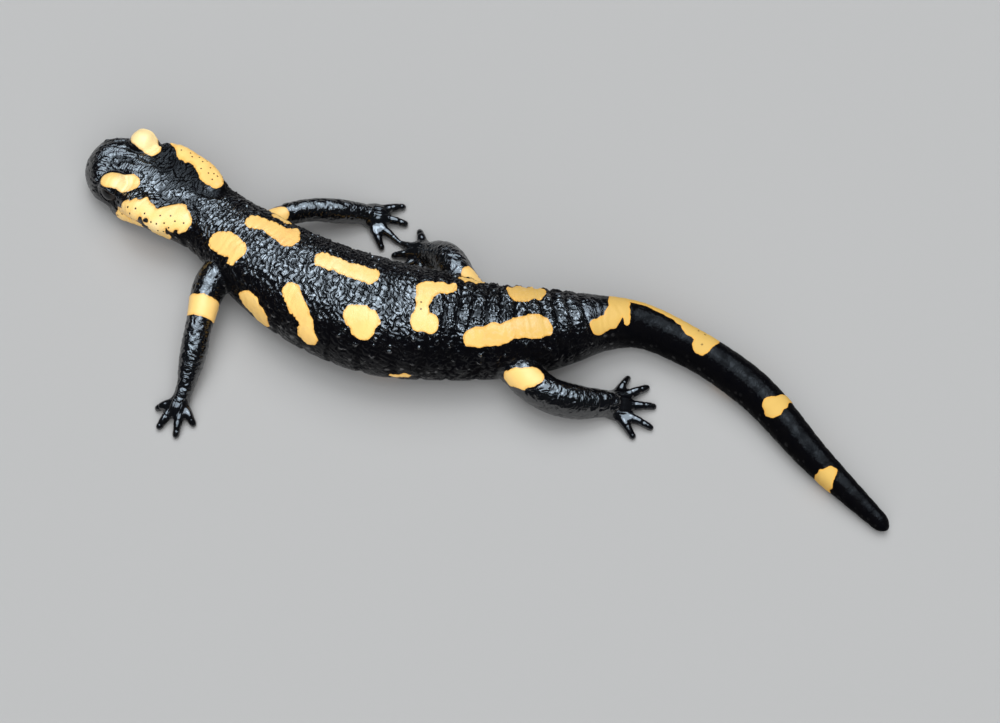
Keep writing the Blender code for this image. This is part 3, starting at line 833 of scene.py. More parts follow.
headForm = {
    "crownSide": (1.1, 1.9),  # turns between which the crown's wrinkles end
    "lengthwisePitch": 0.8,  # fine wrinkles along the snout
    "lengthwiseHeight": 0.05,
    "snoutDepth": 0.2,  # short grooves on the snout and the crown
    "crownDepth": 0.18,
    "waves": 0.12,
    # swellings and dips: height, then middle and width along and across
    "mounds": ((-0.35, 18.0, 6.0, 4.2, 1.5), (0.65, 16.5, 4.5, -4.6, 2.3)),
    "snoutTop": 0.35,
    "mouthEnds": (13.0, 14.2),
    "mouthDepth": 0.30,
    "lipHeight": 0.10,
    "cheekGroove": 0.14,
    "eyeGroove": 0.14,
    "nostril": (7.6, 2.6, 0.32, 0.34),  # ahead of the lid, inwards from it, depth and radius
}


def headRelief():
    form = headForm
    straight = body["straight"]
    sway = gradientNoise(straight / 2.2, 15)
    crown = (1 - behindNeck) * fadeOut(*form["crownSide"], turned)
    wrinkles = creasedFolds((across + 0.45 * sway + 0.05 * along) / form["lengthwisePitch"])
    shape = form["lengthwiseHeight"] * (wrinkles - 0.6) * fadeOut(*partForm["brow"], along) * crown
    snoutWorms = dashes(straight / (2.5, 0.8, 0.8), 17, 0.32)
    crownWorms = dashes(straight / (1.3, 0.95, 0.95), 16, 0.36, 0.75)
    crownWorms = np.maximum(crownWorms, dashes(straight / 0.8, 37, 0.3, 0.75))
    backward = smoothStep(*partForm["crown"], along)
    deep = form["snoutDepth"] * snoutWorms * (1 - backward) + form["crownDepth"] * crownWorms * backward
    shape -= deep * crown * smoothStep(1.0, 4.0, along)
    shape += form["waves"] * gradientNoise(straight / 1.8, 34) * crown * backward
    shape *= calm
    # the top of the snout runs on flat nearly to its end, and the right side of the crown falls away
    shape += form["snoutTop"] * bump(along, 2.8, 2.2) * bump(turn, 0, 0.9)
    for rise, place, length, beside, width in form["mounds"]:
        shape += rise * bump(across, beside, width) * bump(along, place, length)
    shape += reliefForm["parotoidRise"] * smoothStep(-0.9, 1.1, gland) - 0.16 * bump(gland, -1.1, 0.7)
    shape -= reliefForm["rightGlandSlack"] * bump(along, 22.5, 5.0) * bump(turn, 1.1, 0.5)
    # the mouth: a thin line from the snout to below the rear of the eye, with a soft lip over it
    height = points[:, 2]
    lipLine = 3.15 + 0.25 * np.sin(along / 14.0 * math.pi) - 0.5 * smoothStep(11.5, 14.5, along)
    mouth = fadeOut(*form["mouthEnds"], along)
    shape -= form["mouthDepth"] * bump(height, lipLine, 0.16) * mouth
    shape += form["lipHeight"] * bump(height, lipLine + 0.55, 0.4) * mouth
    # the groove behind the mouth that sets the cheek off
    beside = np.abs(across)
    cheek = smoothStep(5.0, 6.0, beside) * fadeOut(9.5, 11.0, beside)
    shape -= form["cheekGroove"] * bump(along - 0.22 * (beside - 6.0), 14.6, 0.28) * cheek
    ahead, inward, depth, radius = form["nostril"]
    for eye in eyes:
        away = distanceTo(points, eye["lid"])
        shape -= form["eyeGroove"] * bump(away, eyeForm["lidRadius"] + 0.35, 0.35) * (along < 18)
        pit = eye["lid"] + eye["forward"] * ahead - eye["out"] * inward
        shape -= depth * bump(distanceTo(points[:, :2], pit[:2]), 0, radius) * (height > 4.2)
    return shape * (along < 34)


limbForm = {
    "wormHeight": 0.05,
    "grooveDepth": 0.13,
    "ringPitch": 1.5,
    "ringHeight": 0.03,
    "digitPitch": 1.7,  # creases at the joints of the digits
    "digitDepth": 0.07,
    "digitWidth": 0.22,
}


def legRelief():
    form = limbForm
    turnRound, radius = legs["turn"], legs["radius"]
    straight = np.stack([legs["along"], radius * np.sin(turnRound), radius * np.cos(turnRound)], axis=1)
    straight[:, 1] += 40 * (legs["index"] + 1)  # tells the legs apart
    shape = form["wormHeight"] * wormRidges(straight / (0.9, 1.5, 1.5), 3, 0.3)
    shape -= form["grooveDepth"] * dashes(straight / (1.2, 1.7, 1.7), 18, 0.2)
    wander = gradientNoise(straight / 2.2, 12)
    rings = 0.5 + 0.5 * np.cos(2 * math.pi * legs["along"] / form["ringPitch"] + 4.5 * wander)
    shape += form["ringHeight"] * rings * smoothStep(0.2, 1.2, legs["digit"])
    onDigit = fadeOut(-0.1, 0.5, legs["digit"]) * smoothStep(1.2, 2.2, legs["digitAlong"])
    phase = (legs["digitAlong"] - 0.4) / form["digitPitch"]
    shape -= form["digitDepth"] * grooves(phase, form["digitPitch"], form["digitWidth"]) * onDigit
    return shape, straight


markingForm = {
    "waver": 0.34,
    "creaseShare": 0.08,  # how far the creases cut into the patches' edges
    # chains of discs as place along, distance across (left side negative), radius
    "body": (
        ((13.3, -7.9, 1.4), (13.3, -9.6, 1.7), (13.8, -11.4, 1.9)),  # left cheek
        # left gland
        ((15.0, -6.1, 1.6), (18.0, -5.2, 1.5), (21.6, -5.6, 1.6), (24.4, -3.5, 1.75), (26.5, -4.6, 1.95)),
        ((15.8, -6.8, 1.7), (16.6, -9.4, 1.4), (16.2, -11.4, 1.8)),
        ((22.6, -6.6, 1.9), (22.6, -9.2, 2.5), (22.0, -11.2, 2.3)),
        ((14.6, 6.3, 1.4), (15.2, 6.0, 1.35), (17.4, 5.4, 1.6)),  # right gland
        ((17.4, 5.4, 1.6), (20.5, 5.6, 1.75), (24.6, 4.7, 1.9), (26.2, 4.2, 1.1)),
        ((17.0, 7.6, 1.5), (22.0, 7.9, 2.5)),
        ((36.3, -3.9, 2.0), (38.6, -3.7, 2.15), (40.9, -3.5, 1.8), (41.4, -5.4, 1.0)),  # left shoulder
        ((38.4, 2.3, 1.6), (41.0, 3.4, 1.4), (47.2, 3.6, 2.0), (46.4, 5.5, 1.5)),  # right shoulder
        ((40.0, 7.2, 1.1), (42.3, 7.6, 1.1)),
        ((47.9, -10.7, 2.2), (50.1, -12.8, 2.3), (50.7, -14.6, 1.9)),  # left flank
        ((54.4, -4.9, 1.6), (57.0, -6.9, 1.75), (59.0, -8.6, 1.3), (60.0, -11.8, 1.8)),
        ((55.9, 2.9, 1.6), (60.5, 3.05, 1.5), (66.5, 3.1, 1.75)),  # right of the back
        ((66.5, -4.8, 1.95), (69.1, -4.9, 1.9)),  # left of the back
        ((67.7, -4.9, 2.3), (68.4, -6.3, 2.15)),
        ((82.4, 3.9, 1.0), (78.0, 2.6, 1.85), (77.6, -0.5, 1.1), (77.8, -3.4, 1.9), (79.6, -3.7, 1.7)),
        ((96.3, 5.0, 2.7), (99.1, 5.3, 2.6)),
        ((87.6, -5.0, 1.75), (91.0, -4.2, 2.0), (94.4, -3.0, 1.6), (97.6, -2.6, 2.2), (99.4, -2.7, 1.95)),
        ((73.6, -17.4, 0.5), (75.8, -15.9, 0.95)),
        ((84.2, 7.5, 1.1), (88.0, 7.9, 1.1)),
        # root of the tail
        ((109.8, -3.6, 1.5), (112.9, -2.4, 1.6), (114.5, 0.8, 1.65), (114.7, 4.0, 1.7)),
        ((115.3, 1.6, 1.5), (116.3, -2.4, 0.6)),
        ((115.3, 4.4, 2.1), (121.0, 5.2, 3.1), (127.0, 4.4, 3.1)),
        ((128.3, 2.3, 2.2), (131.6, 2.2, 2.4), (131.7, -0.6, 1.75)),
        ((149.8, -0.8, 2.1), (149.9, 2.2, 1.1), (149.9, 3.8, 0.8)),
        ((165.9, -0.6, 1.1), (165.9, -2.6, 1.9), (166.0, -4.8, 1.9)),
        # sides that lie turned away
        ((34.0, 12.8, 1.6), (37.5, 13.8, 1.8)),
        ((57.0, 14.2, 2.0), (60.5, 16.0, 2.1), (62.5, 18.0, 1.4)),
        ((73.0, 15.4, 2.0), (75.5, 17.6, 1.7)),
        ((86.0, 14.0, 1.8), (89.5, 14.6, 2.1), (92.0, 13.6, 1.4)),
        ((107.0, 10.5, 1.8), (108.5, 13.0, 1.5)),
        ((139.0, 7.2, 1.6), (141.5, 7.6, 1.4)),
        ((158.0, 5.8, 1.3), (160.0, 6.4, 1.2)),
        # belly and throat
        ((17.0, 18.0, 1.4), (20.0, 19.0, 1.6)),
        ((24.0, -18.5, 1.5), (25.5, -20.0, 1.2)),
        ((56.0, 25.0, 1.5), (58.0, 27.0, 1.8)),
        ((70.0, -26.0, 1.7), (73.0, -25.0, 1.3)),
        ((84.0, 24.0, 1.6), (86.5, 23.0, 1.4)),
        ((97.0, -20.0, 1.8), (99.0, -18.5, 1.4)),
        ((137.0, -9.6, 1.3), (140.0, -10.0, 1.4)),
    ),
    # black bites out of them
    "bites": (
        ((19.0, -6.3, 0.75), (19.2, -8.4, 1.0), (19.2, -12.0, 0.85)),
        ((20.2, -5.75, 0.45),),
        ((26.6, -6.2, 0.4), (26.6, -7.5, 0.85), (27.5, -10.5, 1.5)),
        ((19.6, 3.3, 0.5),),
    ),
}


def patches(place, chains):
    # how far inside the nearest patch each place lies
    field = np.full(len(place), -9.0)
    for rows in chains:
        field = np.maximum(field, chainField(place, rows))
    return field


def bodyMarking(straight):
    waver = [gradientNoise(straight / 1.4, seed) for seed in (21, 22)]
    place = surface + markingForm["waver"] * np.stack(waver, axis=1)
    field = patches(place, markingForm["body"])
    return np.minimum(field, -patches(place, markingForm["bites"]))


shineForm = {
    "nearFlank": (0.42, 0.8),  # turns between which the shine goes
    "farFlank": (0.26, 0.6),
    "farFlankRear": 0.13,  # added to them at the rear of the trunk
    # painted shade: these turn the reflection down on the flanks, on the tail, between the rear curls and
    # at the right of the crown
    "flankLoss": 0.91,
    "tailLoss": 0.95,
    "creaseLoss": 0.75,  # painted shade in the bottom of the creases
    "patchLoss": 0.5,  # where the wet layer is broken, at random
    "broken": (0.05, 0.45),  # levels of the noise between which it breaks
    "betweenCurlsLoss": 0.92,
    "crownLoss": 0.6,
    "crownRight": (-0.8, 1.6),  # distances across the crown between which it starts
    "snoutLoss": 0.3,
    "limbLoss": 0.22,
}

lidMarks = {
    # forward, out, up from the middle of the lid, and radius
    "left": ((0.8, -0.1, 2.6, 1.85), (-2.9, -1.2, 2.2, 2.15)),
    "right": ((0.6, 0.4, 2.5, 2.4), (-0.8, 0.2, 2.6, 2.6), (-2.6, -0.9, 1.9, 1.7)),
}


def lidMarking(points):
    field = np.full(len(points), -9.0)
    lidWaver = 0.18 * gradientNoise(points / 1.1, 23)
    for eye in eyes:
        away = points - eye["lid"]
        local = np.stack([away @ eye["forward"], away @ eye["out"], away[:, 2]], axis=1)
        local += lidWaver[:, None]
        field = np.maximum(field, chainField(local, lidMarks[eye["side"]]))
    return field


limbMarks = {
    # chains as place along the leg, distance round it from its upper side, radius
    "foreRight": (((6.0, 0.0, 2.0), (7.2, 0.5, 1.8)),),
    "foreLeft": (((12.7, -4.0, 1.95), (12.5, 0.0, 2.0), (12.4, 4.0, 1.95)),),
    "hindRight": (((4.8, 1.4, 1.9), (7.6, 1.6, 1.9)),),
    "hindLeft": (((8.4, 4.0, 1.4), (9.6, 2.2, 1.95), (10.9, -0.3, 1.7)),),
}


toneAndPaintedLightForm = {
    # place along, distance across, reach, and a shift of the yellow from 1 pale to -1 warm; the pale spots
    # are painted sheen and the warm ones painted shade on the patches
    "spots": (
        (21.0, -7.0, 7.0, 0.5), (61.0, 3.0, 6.0, 0.6), (47.0, 3.5, 4.5, -0.5), (39.0, -4.0, 4.0, -0.2),
        (20.5, 6.0, 6.0, -0.3), (97.0, 5.0, 5.0, -0.5), (92.0, -4.0, 9.0, -0.35), (58.0, -8.0, 6.0, -0.25),
    ),
    # painted sheen on the lids, with less on the front of the left lid, which is painted shade
    "lid": 0.95,
    "leftLidFrontShade": 0.1,
}


def yellowToneAndPaintedLight():
    # random change of the yellow, plus painted sheen and painted shade at the listed spots and on the lids
    toneAndPaintedLight = 0.45 * gradientNoise(straight / 2.2, 40)
    for place, beside, reach, strength in toneAndPaintedLightForm["spots"]:
        toneAndPaintedLight += strength * bump(np.hypot(along - place, across - beside), 0, reach) * (onBody > 0.5)
    for eye in eyes:
        away = points - eye["lid"]
        ahead = smoothStep(-1.2, 0.2, away @ eye["forward"]) * (eye["side"] == "left")
        wanted = toneAndPaintedLightForm["lid"] + (toneAndPaintedLightForm["leftLidFrontShade"] - toneAndPaintedLightForm["lid"]) * ahead
        toneAndPaintedLight += (wanted - toneAndPaintedLight) * fadeOut(4.2, 4.8, distanceTo(points, eye["lid"]))
    return toneAndPaintedLight


def legMarking(straight):
    field = np.full(len(points), -9.0)
    for index, name in enumerate(legForm):
        onThis = (legs["index"] == index).nonzero()[0]
        place = np.stack([legs["along"], legs["turn"] * legs["radius"]], axis=1)[onThis]
        place += 0.2 * gradientNoise(straight[onThis] / 1.3, 24)[:, None]
        field[onThis] = patches(place, limbMarks[name])
    return field


print("raising the relief and laying out the markings")
crease, foldWave = bodyCreases()
rearCurls = curlsAtRear()
granules = scattered(surface, reliefForm["granuleSpacing"], reliefForm["granuleRadius"], 5)
normals = valuesOf(skinMesh.vertices, "normal", 3)
legShape, legStraight = legRelief()
legStraight[:, 0] += 200  # told apart from the body's places
straight = np.where(onBody[:, None] > 0.5, body["straight"], legStraight)
bodyMarks = bodyMarking(body["straight"]) - markingForm["creaseShare"] * crease
legMarks = legMarking(legStraight)
marking = np.where(onBody > 0.02, bodyMarks, -9.0)
marking = np.maximum(marking, np.where(legs["outside"] < 1.0, legMarks, -9.0))
marking = np.maximum(marking, lidMarking(points))
pore = poreField()
poreMask = fadeOut(glandForm["poreRadius"] * 0.75, glandForm["poreRadius"] * 1.25, pore)

yellow = smoothStep(-0.15, 0.25, marking)
calm = 1 - 0.88 * smoothStep(-0.1, 0.5, marking)
atEye = np.full(len(points), 9.0)
for eye in eyes:
    atEye = np.minimum(atEye, distanceTo(points, eye["lid"]))
calm *= 0.1 + 0.9 * smoothStep(2.9, 4.2, atEye)
rise = (bodyRelief() * onBody + legShape * (1 - onBody)) * calm
rise += headRelief() * onBody
folds = np.cos(2 * math.pi * along / 1.65 + 3.0 * gradientNoise(body["straight"] / 2.6, 36))
rise += (reliefForm["patchRise"] + reliefForm["patchFold"] * folds * onBody) * yellow
rise -= glandForm["poreDepth"] * np.exp(-(pore / glandForm["poreRadius"]) ** 2)
soleShare = smoothStep(0.05, 0.6, points[:, 2])
points = points + normals * (rise * soleShare)[:, None]
points = openLids(points)
points[:, 2] = np.maximum(points[:, 2], 0.0)
setPoints(skinMesh, points)


def bodyShineAndShade():
    # how strong the reflection is: the back's most, the flanks' and the tail's least, turned down there as
    # painted shade, and also between the rear curls and at the right of the crown; the granules' tops keep
    # theirs
    form = shineForm
    farTurn = turn - form["farFlankRear"] * smoothStep(76.0, 84.0, along)
    flank = np.maximum(smoothStep(*form["nearFlank"], -turn), smoothStep(*form["farFlank"], farTurn))
    tops = smoothStep(0.15, 0.45, granules)
    filmAndShade = 1 - form["flankLoss"] * flank * smoothStep(10.0, 24.0, along) * (1 - tops)
    filmAndShade *= 1 - form["tailLoss"] * smoothStep(104.0, 118.0, along)
    broken = smoothStep(*form["broken"], gradientNoise(body["straight"] / (2.6, 1.8, 1.8), 35))
    filmAndShade *= 1 - form["patchLoss"] * broken * smoothStep(11.0, 15.0, along)
    between = smoothStep(75.0, 82.0, along) * fadeOut(104.0, 110.0, along) * fadeOut(0.2, 0.5, rearCurls)
    between *= 1 - 0.7 * bump(across, -2.0, 1.2)
    filmAndShade *= 1 - form["betweenCurlsLoss"] * between
    filmAndShade *= 1 - form["snoutLoss"] * fadeOut(9.0, 13.0, along)
    crownRight = smoothStep(*form["crownRight"], across)
    crownRight *= smoothStep(10.0, 13.0, along) * fadeOut(24.0, 28.0, along)
    return filmAndShade * (1 - form["crownLoss"] * crownRight)


shineAndPaintedShade = bodyShineAndShade() * onBody + (1 - shineForm["limbLoss"]) * (1 - onBody)
# painted shade: the reflection is turned down in the creases and hollows
shineAndPaintedShade *= 1 - shineForm["creaseLoss"] * smoothStep(0.02, 0.12, -rise)
kept = {"marking": marking, "pore": poreMask, "shineAndPaintedShade": shineAndPaintedShade, "toneAndPaintedLight": yellowToneAndPaintedLight(), "straight": straight}
for name, values in kept.items():
    keepOnPoints(skinMesh, name, values)


def newMaterial(name):
    made = bpy.data.materials.new(name)
    made.use_nodes = True
    tree = made.node_tree
    return made, tree, tree.nodes["Principled BSDF"]


def addNode(tree, kind, inputs=None, **settings):
    made = tree.nodes.new(kind)
    for name, value in settings.items():
        setattr(made, name, value)
    for socket, value in (inputs or {}).items():
        if isinstance(value, bpy.types.NodeSocket):
            tree.links.new(value, made.inputs[socket])
        else:
            made.inputs[socket].default_value = value
    return made


def pointValue(tree, name, output="Fac"):
    return addNode(tree, "ShaderNodeAttribute", attribute_name=name).outputs[output]


def scaled(tree, source, scale):
    return addNode(tree, "ShaderNodeVectorMath", {0: source, 1: scale}, operation="MULTIPLY").outputs[0]


def mathNode(tree, operation, first, second):
    return addNode(tree, "ShaderNodeMath", {0: first, 1: second}, operation=operation).outputs[0]


def ranged(tree, value, low, high, newLow=0.0, newHigh=1.0):
    inputs = {"Value": value, "From Min": low, "From Max": high, "To Min": newLow, "To Max": newHigh}
    return addNode(tree, "ShaderNodeMapRange", inputs, interpolation_type="SMOOTHSTEP").outputs["Result"]


def mixed(tree, factor, first, second):
    node = addNode(tree, "ShaderNodeMix", data_type="RGBA")
    for socket, value in (("Factor_Float", factor), ("A_Color", first), ("B_Color", second)):
        target = [s for s in node.inputs if s.identifier == socket][0]
        if isinstance(value, bpy.types.NodeSocket):
            tree.links.new(value, target)
        else:
            target.default_value = value
    return [s for s in node.outputs if s.identifier == "Result_Color"][0]


def noiseAt(tree, vector, scale, detail=2.0, roughness=0.5, output="Fac"):
    inputs = {"Vector": vector, "Scale": scale, "Detail": detail, "Roughness": roughness}
    return addNode(tree, "ShaderNodeTexNoise", inputs).outputs[output]


skinLook = {
    "black": (0.0012, 0.0012, 0.0018, 1.0),
    "brownBlack": (0.0032, 0.0025, 0.0024, 1.0),
    "yellow": (0.84, 0.475, 0.138, 1.0),
    # paler and warmer yellows, for random change and for painted sheen and painted shade
    "paleYellowAndSheen": (0.88, 0.58, 0.25, 1.0),
    "warmYellowAndShade": (0.80, 0.39, 0.11, 1.0),
    "tailYellowAndShade": (0.60, 0.33, 0.08, 1.0),
    "orange": (0.70, 0.27, 0.028, 1.0),  # at the patches' edges
    "tailShadeSpan": (74.0, 106.0),  # places along the body between which the yellow turns to the tail's, which is darker and more orange: partly its own hue, partly painted shade
    "blackGloss": 0.13,
    "yellowGloss": 0.36,
    "ior": 1.7,
    "blackShine": 1.0,  # specular level
    "yellowShine": 0.3,
    "lineHeight": 0.00002,  # of the finest wrinkles
    "edgeWaver": 0.2,
}


def wetSkin():
    made, tree, shader = newMaterial("wetSkin")
    place = pointValue(tree, "straight", "Vector")
    mark = pointValue(tree, "marking")
    pores = pointValue(tree, "pore")
    along = addNode(tree, "ShaderNodeSeparateXYZ", {0: place}).outputs["X"]
    raggedness = mathNode(tree, "SUBTRACT", noiseAt(tree, place, 2.2, 3.0), 0.5)
    edge = mathNode(tree, "ADD", mark, mathNode(tree, "MULTIPLY", raggedness, skinLook["edgeWaver"]))
    isYellow = ranged(tree, edge, -0.05, 0.06)
    isYellow = mathNode(tree, "MULTIPLY", isYellow, mathNode(tree, "SUBTRACT", 1.0, pores))
    soft = noiseAt(tree, place, 0.55, 3.0)
    black = mixed(tree, soft, skinLook["black"], skinLook["brownBlack"])
    # pale yellow where painted sheen and random change rise, warm yellow where painted shade falls
    toneAndPaintedLight = pointValue(tree, "toneAndPaintedLight")
    front = mixed(tree, ranged(tree, toneAndPaintedLight, -0.8, 0.0), skinLook["warmYellowAndShade"], skinLook["yellow"])
    front = mixed(tree, ranged(tree, toneAndPaintedLight, 0.0, 1.0), front, skinLook["paleYellowAndSheen"])
    # the body's places end at 182 and the legs' begin at 200
    onBody = ranged(tree, along, 190.0, 192.0, 1.0, 0.0)
    # towards the tail the yellow turns darker and more orange, partly its own hue and partly painted shade
    rearward = mathNode(tree, "MULTIPLY", ranged(tree, along, *skinLook["tailShadeSpan"]), onBody)
    flat = mixed(tree, rearward, front, skinLook["tailYellowAndShade"])
    deep = ranged(tree, edge, 0.0, 0.5, 0.5, 0.0)
    yellow = mixed(tree, deep, flat, skinLook["orange"])
    tree.links.new(mixed(tree, isYellow, black, yellow), shader.inputs["Base Color"])
    gloss = ranged(tree, isYellow, 0.0, 1.0, skinLook["blackGloss"], skinLook["yellowGloss"])
    tree.links.new(gloss, shader.inputs["Roughness"])
    # the specular level, turned down as painted shade on the flanks, the tail, the right of the crown and
    # in the creases
    wetShineAndShade = pointValue(tree, "shineAndPaintedShade")
    level = mathNode(tree, "MULTIPLY", wetShineAndShade, skinLook["blackShine"])
    onYellow = ranged(tree, isYellow, 0.0, 1.0, 1.0, skinLook["yellowShine"])
    level = mathNode(tree, "MULTIPLY", level, onYellow)
    tree.links.new(level, shader.inputs["Specular IOR Level"])
    # the finest wrinkles: thin winding lines, lengthwise on the snout and across the body behind it
    drift = noiseAt(tree, place, 0.75, 0.0, output="Color")
    drift = scaled(tree, drift, (1.8, 1.8, 1.8))
    bent = addNode(tree, "ShaderNodeVectorMath", {0: place, 1: drift}, operation="ADD").outputs[0]
    crossing = noiseAt(tree, scaled(tree, bent, (2.0, 0.7, 0.7)), 1.0, 1.0)
    lengthwise = noiseAt(tree, scaled(tree, bent, (0.6, 1.9, 1.9)), 1.0, 1.0)
    lines = addNode(tree, "ShaderNodeMix", data_type="FLOAT")
    for socket, value in ((0, ranged(tree, along, 12.0, 22.0)), (2, lengthwise), (3, crossing)):
        tree.links.new(value, lines.inputs[socket])
    lines = mathNode(tree, "ABSOLUTE", mathNode(tree, "SUBTRACT", lines.outputs[0], 0.5), 0.0)
    height = ranged(tree, lines, 0.0, 0.10, 1.0, 0.0)
    strength = ranged(tree, isYellow, 0.0, 1.0, 1.0, 0.2)
    height = mathNode(tree, "MULTIPLY", height, strength)
    inputs = {"Height": height, "Distance": skinLook["lineHeight"], "Strength": 1.0}
    relief = addNode(tree, "ShaderNodeBump", inputs)
    tree.links.new(relief.outputs["Normal"], shader.inputs["Normal"])
    shader.inputs["IOR"].default_value = skinLook["ior"]
    return made


bakeForm = {
    # a flat layout in millimetres on one square sheet, in four cells
    "cell": 74.0,
    "stripEnds": (62.0, 124.0),  # places along the body where it is cut into three strips
    "bodyTurn": 10.0,  # millimetres for each radian round the body, and round a limb
    "limbTurn": 3.04,
    "margin": 2.0,
    "limbColumn": 34.0,
    "limbRow": 22.0,
    "handHalf": 8.0,
    "handRow": 7.2,
    "handReach": 3.4,  # the hand's part of the limb
}


def flatLayout():
    # the body in three strips opened along the belly, and beside them the limbs, and the hands and feet
    # from above and below
    form = bakeForm
    starts = valuesOf(skinMesh.polygons, "loop_start", kind=np.int32)
    totals = valuesOf(skinMesh.polygons, "loop_total", kind=np.int32)
    corner = valuesOf(skinMesh.loops, "vertex_index", kind=np.int32)
    cell, margin, handHalf = form["cell"], form["margin"], form["handHalf"]

    def faceMean(values):
        return np.repeat(np.add.reduceat(values[corner], starts) / totals, totals)

    def opened(turns):
        # turns made whole on the faces that cross the underside
        turns = turns[corner]
        lowest = np.repeat(np.minimum.reduceat(turns, starts), totals)
        highest = np.repeat(np.maximum.reduceat(turns, starts), totals)
        crossing = (highest - lowest > math.pi) & (turns < 0)
        return np.where(crossing, np.minimum(turns + 2 * math.pi, 1.08 * math.pi), turns)

    middle = faceMean(along)
    strip = (middle > form["stripEnds"][0]).astype(int) + (middle > form["stripEnds"][1])
    cut = np.array((0.0,) + form["stripEnds"])
    u = margin + along[corner] - cut[strip] + cell * (strip % 2)
    v = margin + form["bodyTurn"] * (opened(turn) + math.pi) + cell * (strip // 2)
    limb = faceMean(onBody) < 0.5
    reach = faceMean(legs["along"] - legs["length"]) > -form["handReach"]
    leg = legs["index"][corner[starts]].repeat(totals)
    above = faceMean(normals[:, 2]) > 0
    for index, name in enumerate(legForm):
        onThis = limb & (leg == index)
        inner = onThis & ~reach
        u[inner] = cell + margin + index % 2 * form["limbColumn"] + legs["along"][corner[inner]]
        v[inner] = cell + margin + index // 2 * form["limbRow"]
        v[inner] += form["limbTurn"] * (opened(legs["turn"])[inner] + math.pi)
        palm = legForm[name]["palm"]
        for row, side in enumerate((above, ~above)):
            outer = onThis & reach & side
            place = points[corner[outer]]
            u[outer] = cell + margin + handHalf * (2 * index + 1) + place[:, 0] - palm[0]
            v[outer] = cell + 2 * form["limbRow"] + form["handRow"] * (2 * row + 1) + place[:, 1] - palm[1]
    sheet = skinMesh.uv_layers.new(name="OFBake")
    flat = np.stack([u, v], axis=1) / (2 * cell)
    sheet.uv.foreach_set("vector", flat.astype(np.float32).ravel())
    print("  layout spans", flat.min(axis=0).round(3), flat.max(axis=0).round(3))


flatLayout()
skin = newObject("skin", skinMesh)
skinMesh.materials.clear()
skinMesh.materials.append(wetSkin())
skinMesh.shade_smooth()
intoPlace(skin)
flesh = [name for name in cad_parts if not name.startswith("eye_")]
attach(skin, "root")
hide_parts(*flesh)
print("skin:", len(skinMesh.vertices), "points,", len(skinMesh.polygons), "faces")


eyeLook = {
    "iris": (0.020, 0.012, 0.008, 1.0),
    "darkIris": (0.008, 0.005, 0.004, 1.0),
    "pupil": (0.002, 0.002, 0.002, 1.0),
    "pupilEdge": (0.42, 0.47),  # share of the eye's radius
    "gloss": 0.04,
    "ior": 1.376,
}


def wetEye():
    made, tree, shader = newMaterial("wetEye")
    ring = pointValue(tree, "ring")
    place = pointValue(tree, "straight", "Vector")
    streaks = noiseAt(tree, place, 3.0, 4.0, 0.6)
    iris = mixed(tree, streaks, eyeLook["darkIris"], eyeLook["iris"])
    colour = mixed(tree, ranged(tree, ring, *eyeLook["pupilEdge"]), eyeLook["pupil"], iris)
    tree.links.new(colour, shader.inputs["Base Color"])
    shader.inputs["Roughness"].default_value = eyeLook["gloss"]
    shader.inputs["IOR"].default_value = eyeLook["ior"]
    return made


eyeMaterial = wetEye()
for eye in eyes:
    ball = newObject("eyeball_" + eye["side"], ballMesh(Vector((0, 0, 0)), eyeForm["radius"]))
    local = meshPoints(ball.data)
    outward = local @ eye["looks"]
    ring = np.sqrt(np.maximum(eyeForm["radius"] ** 2 - outward ** 2, 0)) / eyeForm["radius"]
    ring += 2.0 * (outward < 0)
    keepOnPoints(ball.data, "ring", ring)
    keepOnPoints(ball.data, "straight", local / (ring[:, None] + 0.2))
    setPoints(ball.data, local + eye["ball"])
    ball.data.materials.append(eyeMaterial)
    ball.data.shade_smooth()
    intoPlace(ball)
    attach(ball, "root")
    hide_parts("eye_" + eye["side"])
print("eyes in place")


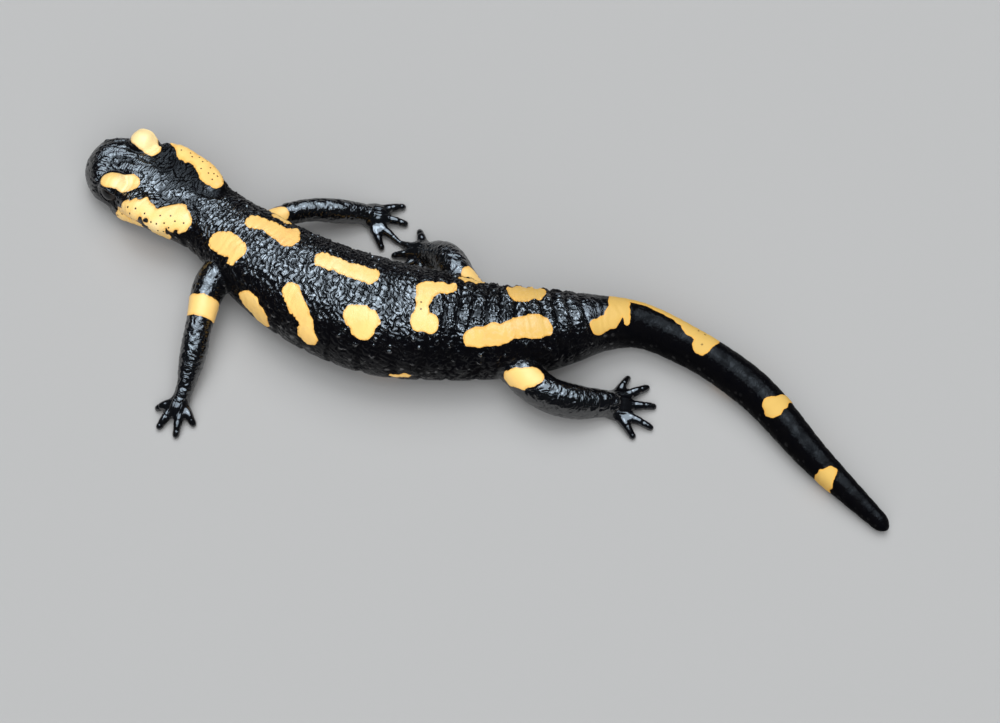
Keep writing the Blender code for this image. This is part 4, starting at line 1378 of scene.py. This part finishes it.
stageForm = {
    "floorHalf": 3.0,
    "floorColour": (0.350, 0.296, 0.256, 1.0),
    "skyTilt": 19.0,  # degrees from overhead, towards the animal's right
    "skyColour": (0.72, 0.86, 1.0),
    # width in degrees and strength: the broad light, and its bright middle
    "broad": (64.0, 3.3),
    "middle": (20.0, 0.5),
    "fill": (80.0, 4.0),  # soft light from the near side, which leaves no gloss
    "fillTilt": -45.0,
    "worldColour": (0.72, 0.86, 1.0, 1.0),
    "worldStrength": 0.03,
}

half = stageForm["floorHalf"]
corners = [(x * half, y * half, 0) for x, y in ((-1, -1), (1, -1), (1, 1), (-1, 1))]
floorMesh = meshFrom("floor", corners, [(0, 1, 2, 3)])
floor = newObject("floor", floorMesh)
floorMaterial, _, shader = newMaterial("paleFloor")
shader.inputs["Base Color"].default_value = stageForm["floorColour"]
shader.inputs["Roughness"].default_value = 0.75
shader.inputs["Specular IOR Level"].default_value = 0.2
floorMesh.materials.append(floorMaterial)

for name, lean in (("broad", "skyTilt"), ("middle", "skyTilt"), ("fill", "fillTilt")):
    width, strength = stageForm[name]
    lampData = bpy.data.lights.new(name, "SUN")
    lampData.angle = math.radians(width)
    lampData.energy = strength
    lampData.color = stageForm["skyColour"]
    lamp = newObject(name, lampData)
    lamp.location = (0, 0, 1)
    lamp.rotation_euler = (-math.radians(stageForm[lean]), 0, 0)
    lamp.visible_glossy = name != "fill"

world = bpy.data.worlds.new("studio")
world.use_nodes = True
world.node_tree.nodes["Background"].inputs["Color"].default_value = stageForm["worldColour"]
world.node_tree.nodes["Background"].inputs["Strength"].default_value = stageForm["worldStrength"]
bpy.context.scene.world = world

cameraForm = {"elevation": 62.0, "distance": 0.5, "lens": 94.74}
cameraData = bpy.data.cameras.new("camera")
cameraData.sensor_width = 36
cameraData.lens = cameraForm["lens"]
cameraData.clip_start = 0.01
camera = newObject("camera", cameraData)
tilt = math.radians(cameraForm["elevation"])
camera.location = shift + Vector((0, -math.cos(tilt), math.sin(tilt))) * cameraForm["distance"]
camera.rotation_euler = (math.pi / 2 - tilt, 0, 0)
bpy.context.scene.camera = camera
bpy.context.scene.view_settings.view_transform = "Standard"
print("stage set")
